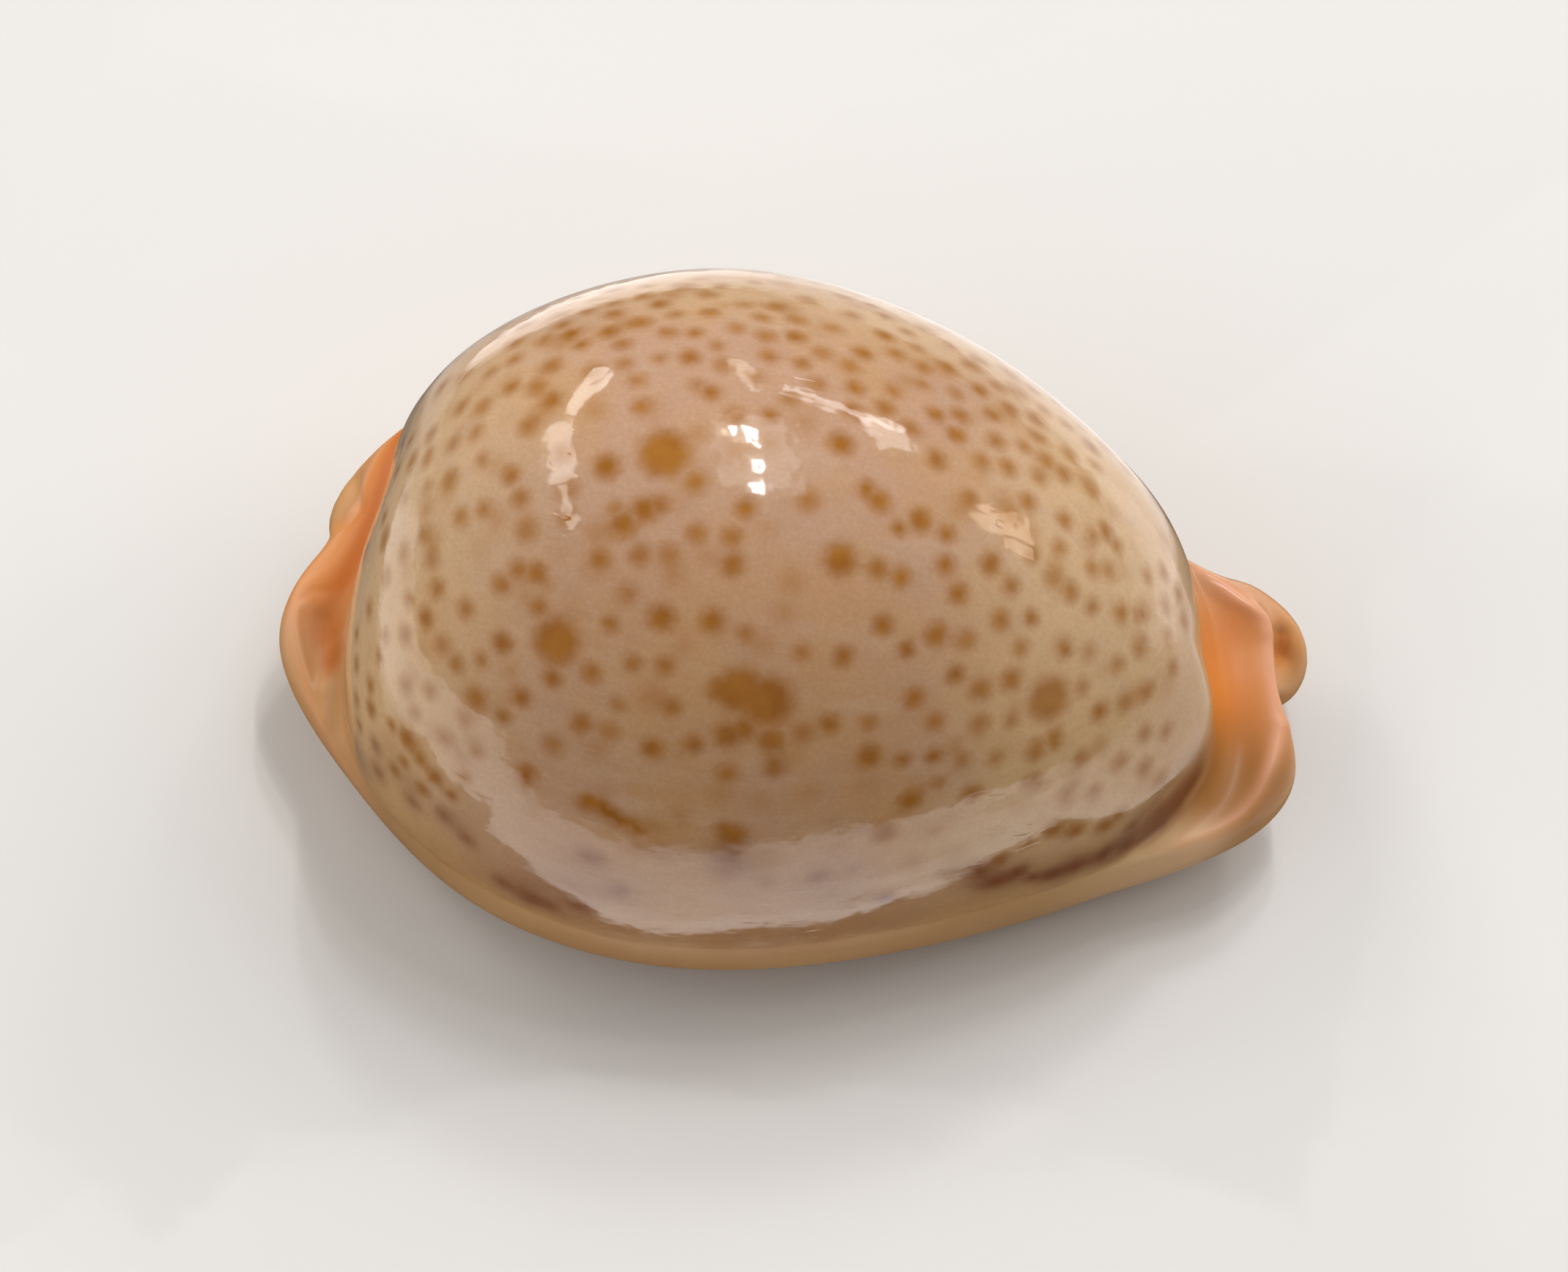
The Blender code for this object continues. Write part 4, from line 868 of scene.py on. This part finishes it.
def cards():
    """A white card round the shell with a dark one inside it, seen only as reflections in the enamel."""
    mesh = bpy.data.meshes.new("cards")
    s = 1.4
    mesh.from_pydata([(-s, -s, 0), (s, -s, 0), (s, s, 0), (-s, s, 0)], [], [(0, 1, 2, 3)])
    card = bpy.data.objects.new("cards", mesh)
    card.location = (0, 0, -0.00001)
    material = bpy.data.materials.new("cards")
    material.use_nodes = True
    tree = material.node_tree
    tree.nodes.clear()
    n = Nodes(tree)
    split = n.add("ShaderNodeSeparateXYZ")
    n.link(n.add("ShaderNodeTexCoord").outputs["Object"], split.inputs[0])
    x, y = split.outputs["X"], split.outputs["Y"]

    def waver(stretch, scale, size):     # a push to and fro, drawn out along one direction
        mapping = n.add("ShaderNodeMapping")
        mapping.inputs["Scale"].default_value = stretch
        n.link(split.inputs[0].links[0].from_socket, mapping.inputs["Vector"])
        return n.math("MULTIPLY", n.math("SUBTRACT", n.noise(mapping.outputs["Vector"], scale, 3.0, 0.6), 0.5), size)

    along = waver((0.3, 1.0, 1.0), 230.0, 0.009)
    across = waver((1.0, 0.4, 1.0), 230.0, 0.008)
    plain_x, plain_y = x, y
    x, y = n.math("ADD", x, across), n.math("ADD", y, along)

    def beyond(value, start, slope):     # slope times how far a value lies past start
        return n.math("MULTIPLY", n.math("MAXIMUM", n.math("SUBTRACT", value, start), 0.0), slope)

    def both(a, b):
        return n.math("MULTIPLY", a, b)

    outer = both(both(n.ramp(n.math("ADD", x, beyond(n.math("MULTIPLY", y, -1.0), 0.012, 0.3)), -0.064, -0.054), n.ramp(x, 0.066, 0.042)),
                 both(n.ramp(n.math("ADD", y, beyond(n.math("MULTIPLY", x, -1.0), 0.018, 0.85)), -0.0365, -0.030), n.ramp(n.math("SUBTRACT", y, beyond(x, -0.005, 1.1)), 0.042, 0.035)))
    corner = both(n.ramp(x, -0.025, -0.030), n.ramp(y, 0.009, 0.013))
    right = n.math("SUBTRACT", x, beyond(y, 0.008, 0.5))
    top = n.math("SUBTRACT", y, beyond(x, -0.004, 0.75))
    behind, ahead = n.math("MINIMUM", x, 0.0), n.math("MAXIMUM", x, 0.0)
    bottom = n.math("ADD", y, n.math("ADD", n.math("MULTIPLY", both(behind, behind), 24.0), n.math("MULTIPLY", both(ahead, ahead), 9.0)))
    bottom = n.math("SUBTRACT", bottom, beyond(n.math("MULTIPLY", x, -1.0), 0.019, 1.6))
    inner = both(both(n.ramp(x, -0.0305, -0.0268), n.ramp(right, 0.0212, 0.0198)),
                 both(n.ramp(top, 0.0222, 0.0208), n.ramp(bottom, -0.0146, -0.0134)))
    outer = both(outer, n.math("SUBTRACT", 1.0, corner))
    white = both(both(outer, n.math("SUBTRACT", 1.0, inner)), n.math("SUBTRACT", 1.0, n.math("MULTIPLY", n.ramp(n.math("ADD", x, y), 0.0, 0.040), 0.72)))
    left = both(n.ramp(plain_x, -0.020, -0.030), n.ramp(plain_y, -0.010, 0.006))
    white = both(white, n.math("SUBTRACT", 1.0, n.math("MULTIPLY", left, 0.34)))
    # a dark gap near the outer edge, and streaks all along
    gap = both(both(n.ramp(y, -0.0285, -0.0275), n.ramp(y, -0.0250, -0.0262)), n.ramp(plain_x, 0.010, 0.026))
    white = both(white, n.math("SUBTRACT", 1.0, n.math("MULTIPLY", gap, 0.45)))
    white = both(white, n.math("ADD", 1.0, n.math("MULTIPLY", waver((0.22, 1.0, 1.0), 420.0, 1.0), 0.6)))
    glow = n.add("ShaderNodeEmission")
    # close behind the shell the card is grey, so that the enamel's upper outline doesn't turn dark
    rim = both(both(n.ramp(plain_y, 0.0112, 0.0140), n.ramp(top, 0.0222, 0.0208)),
               n.math("ADD", 0.36, n.math("MULTIPLY", n.ramp(plain_x, -0.010, 0.003), 0.75)))
    n.link(n.math("ADD", n.math("MULTIPLY", white, 1.9), n.math("ADD", rim, 0.11)), glow.inputs["Strength"])
    glow.inputs["Color"].default_value = (1.0, 0.97, 0.95, 1.0)
    n.link(glow.outputs[0], n.add("ShaderNodeOutputMaterial").inputs["Surface"])
    mesh.materials.append(material)
    card.visible_camera = card.visible_diffuse = card.visible_shadow = False
    card.visible_transmission = card.visible_volume_scatter = False
    bpy.context.scene.collection.objects.link(card)


def stage():
    scene = bpy.context.scene
    mesh = bpy.data.meshes.new("floor")
    s = 1.5
    mesh.from_pydata([(-s, -s, 0), (s, -s, 0), (s, s, 0), (-s, s, 0)], [], [(0, 1, 2, 3)])
    floor = bpy.data.objects.new("floor", mesh)
    floor.location = (0, 0, -0.00002)
    mesh.materials.append(floor_material())
    scene.collection.objects.link(floor)
    world = bpy.data.worlds.new("studio")
    scene.world = world
    world.use_nodes = True
    background = world.node_tree.nodes["Background"]
    background.inputs["Color"].default_value = (1.0, 0.985, 0.96, 1.0)
    background.inputs["Strength"].default_value = 0.33
    cards()
    # small lamps above and behind, in front of a dim overhead panel
    softbox("lamp_a", ((0.024, 0.300, 0.390), (0.036, 0.256, 0.425)), 0.013, 95.0)
    softbox("lamp_b", ((0.0456, 0.204, 0.447), (0.0606, 0.150, 0.472)), 0.014, 95.0)
    softbox("lamp_c", ((0.0675, 0.118, 0.481), (0.0705, 0.090, 0.487)), 0.011, 95.0)
    softbox("lamp_d", ((-0.004, 0.285, 0.407), (0.000, 0.258, 0.425)), 0.024, 10.0, (1.0, 0.93, 0.76))
    softbox("overhead", ((0.026, 0.345, 0.375), (0.067, 0.105, 0.490)), 0.135, 2.6)
    # a tall ragged strip on the rear side, low streaks behind, a two-paned window in front
    softbox("strip_a", aim(117, 21, 0.45) + aim(134, 33, 0.45), 0.028, 8.5, (1.0, 0.97, 0.90))
    softbox("strip_b", aim(138, 32, 0.45) + aim(170, 48, 0.45), 0.062, 7.5, (1.0, 0.97, 0.90))
    softbox("strip_c", aim(172, 48, 0.45) + aim(198, 50, 0.45), 0.022, 8.0, (1.0, 0.95, 0.86))
    softbox("strip_low", aim(92, 22, 0.45) + aim(86, 36, 0.45), 0.016, 5.0, (1.0, 0.96, 0.84))
    softbox("strip_back", aim(81, 31, 0.45) + aim(60, 32, 0.45), 0.032, 7.5)
    softbox("strip_side", aim(66, 31, 0.45) + aim(54, 37, 0.45), 0.044, 5.5)
    softbox("window_a", aim(29.5, 26, 0.45) + aim(29.5, 35, 0.45), 0.056, 5.8, (1.0, 0.76, 0.55))
    softbox("window_b", aim(18.5, 28, 0.45) + aim(18.5, 33, 0.45), 0.054, 5.6, (1.0, 0.76, 0.55))
    # a wide soft fill from low on the near side, not mirrored in the enamel
    fill = softbox("fill", ((-0.44, 0.04, 0.26), (-0.24, -0.36, 0.20)), 0.26, 1.25)
    fill.visible_glossy = False
    fill = softbox("fill_far", ((0.38, 0.08, 0.32), (0.12, 0.34, 0.38)), 0.30, 1.8)
    fill.visible_glossy = False
    scene.view_settings.view_transform = "Standard"
    scene.view_settings.look = "None"
    scene.view_settings.exposure = 0.0


def camera():
    """Looks down on the dorsum, tilted towards the outer-lip side, the front end a little low on the right."""
    tilt, roll, distance = radians(25.0), radians(7.86), 0.300
    right = Vector((cos(roll), sin(roll) * cos(tilt), sin(roll) * sin(tilt)))
    up = Vector((-sin(roll), cos(roll) * cos(tilt), cos(roll) * sin(tilt)))
    back = right.cross(up)
    target = Vector((-0.00046, 0.00004, 0.00595))
    data = bpy.data.cameras.new("camera")
    data.sensor_width = 36.0
    data.lens = 36.0 * 39.1 * 300.0 / 2140.0
    data.clip_start = 0.01
    ob = bpy.data.objects.new("camera", data)
    bpy.context.scene.collection.objects.link(ob)
    turn = Matrix((right, up, back)).transposed()
    ob.matrix_world = Matrix.Translation(target + back * distance) @ turn.to_4x4()
    bpy.context.scene.camera = ob


shell = shell_object()
shell.data.materials.append(enamel())
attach(shell, "root")
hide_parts("cowrie_shell")
camera()
stage()
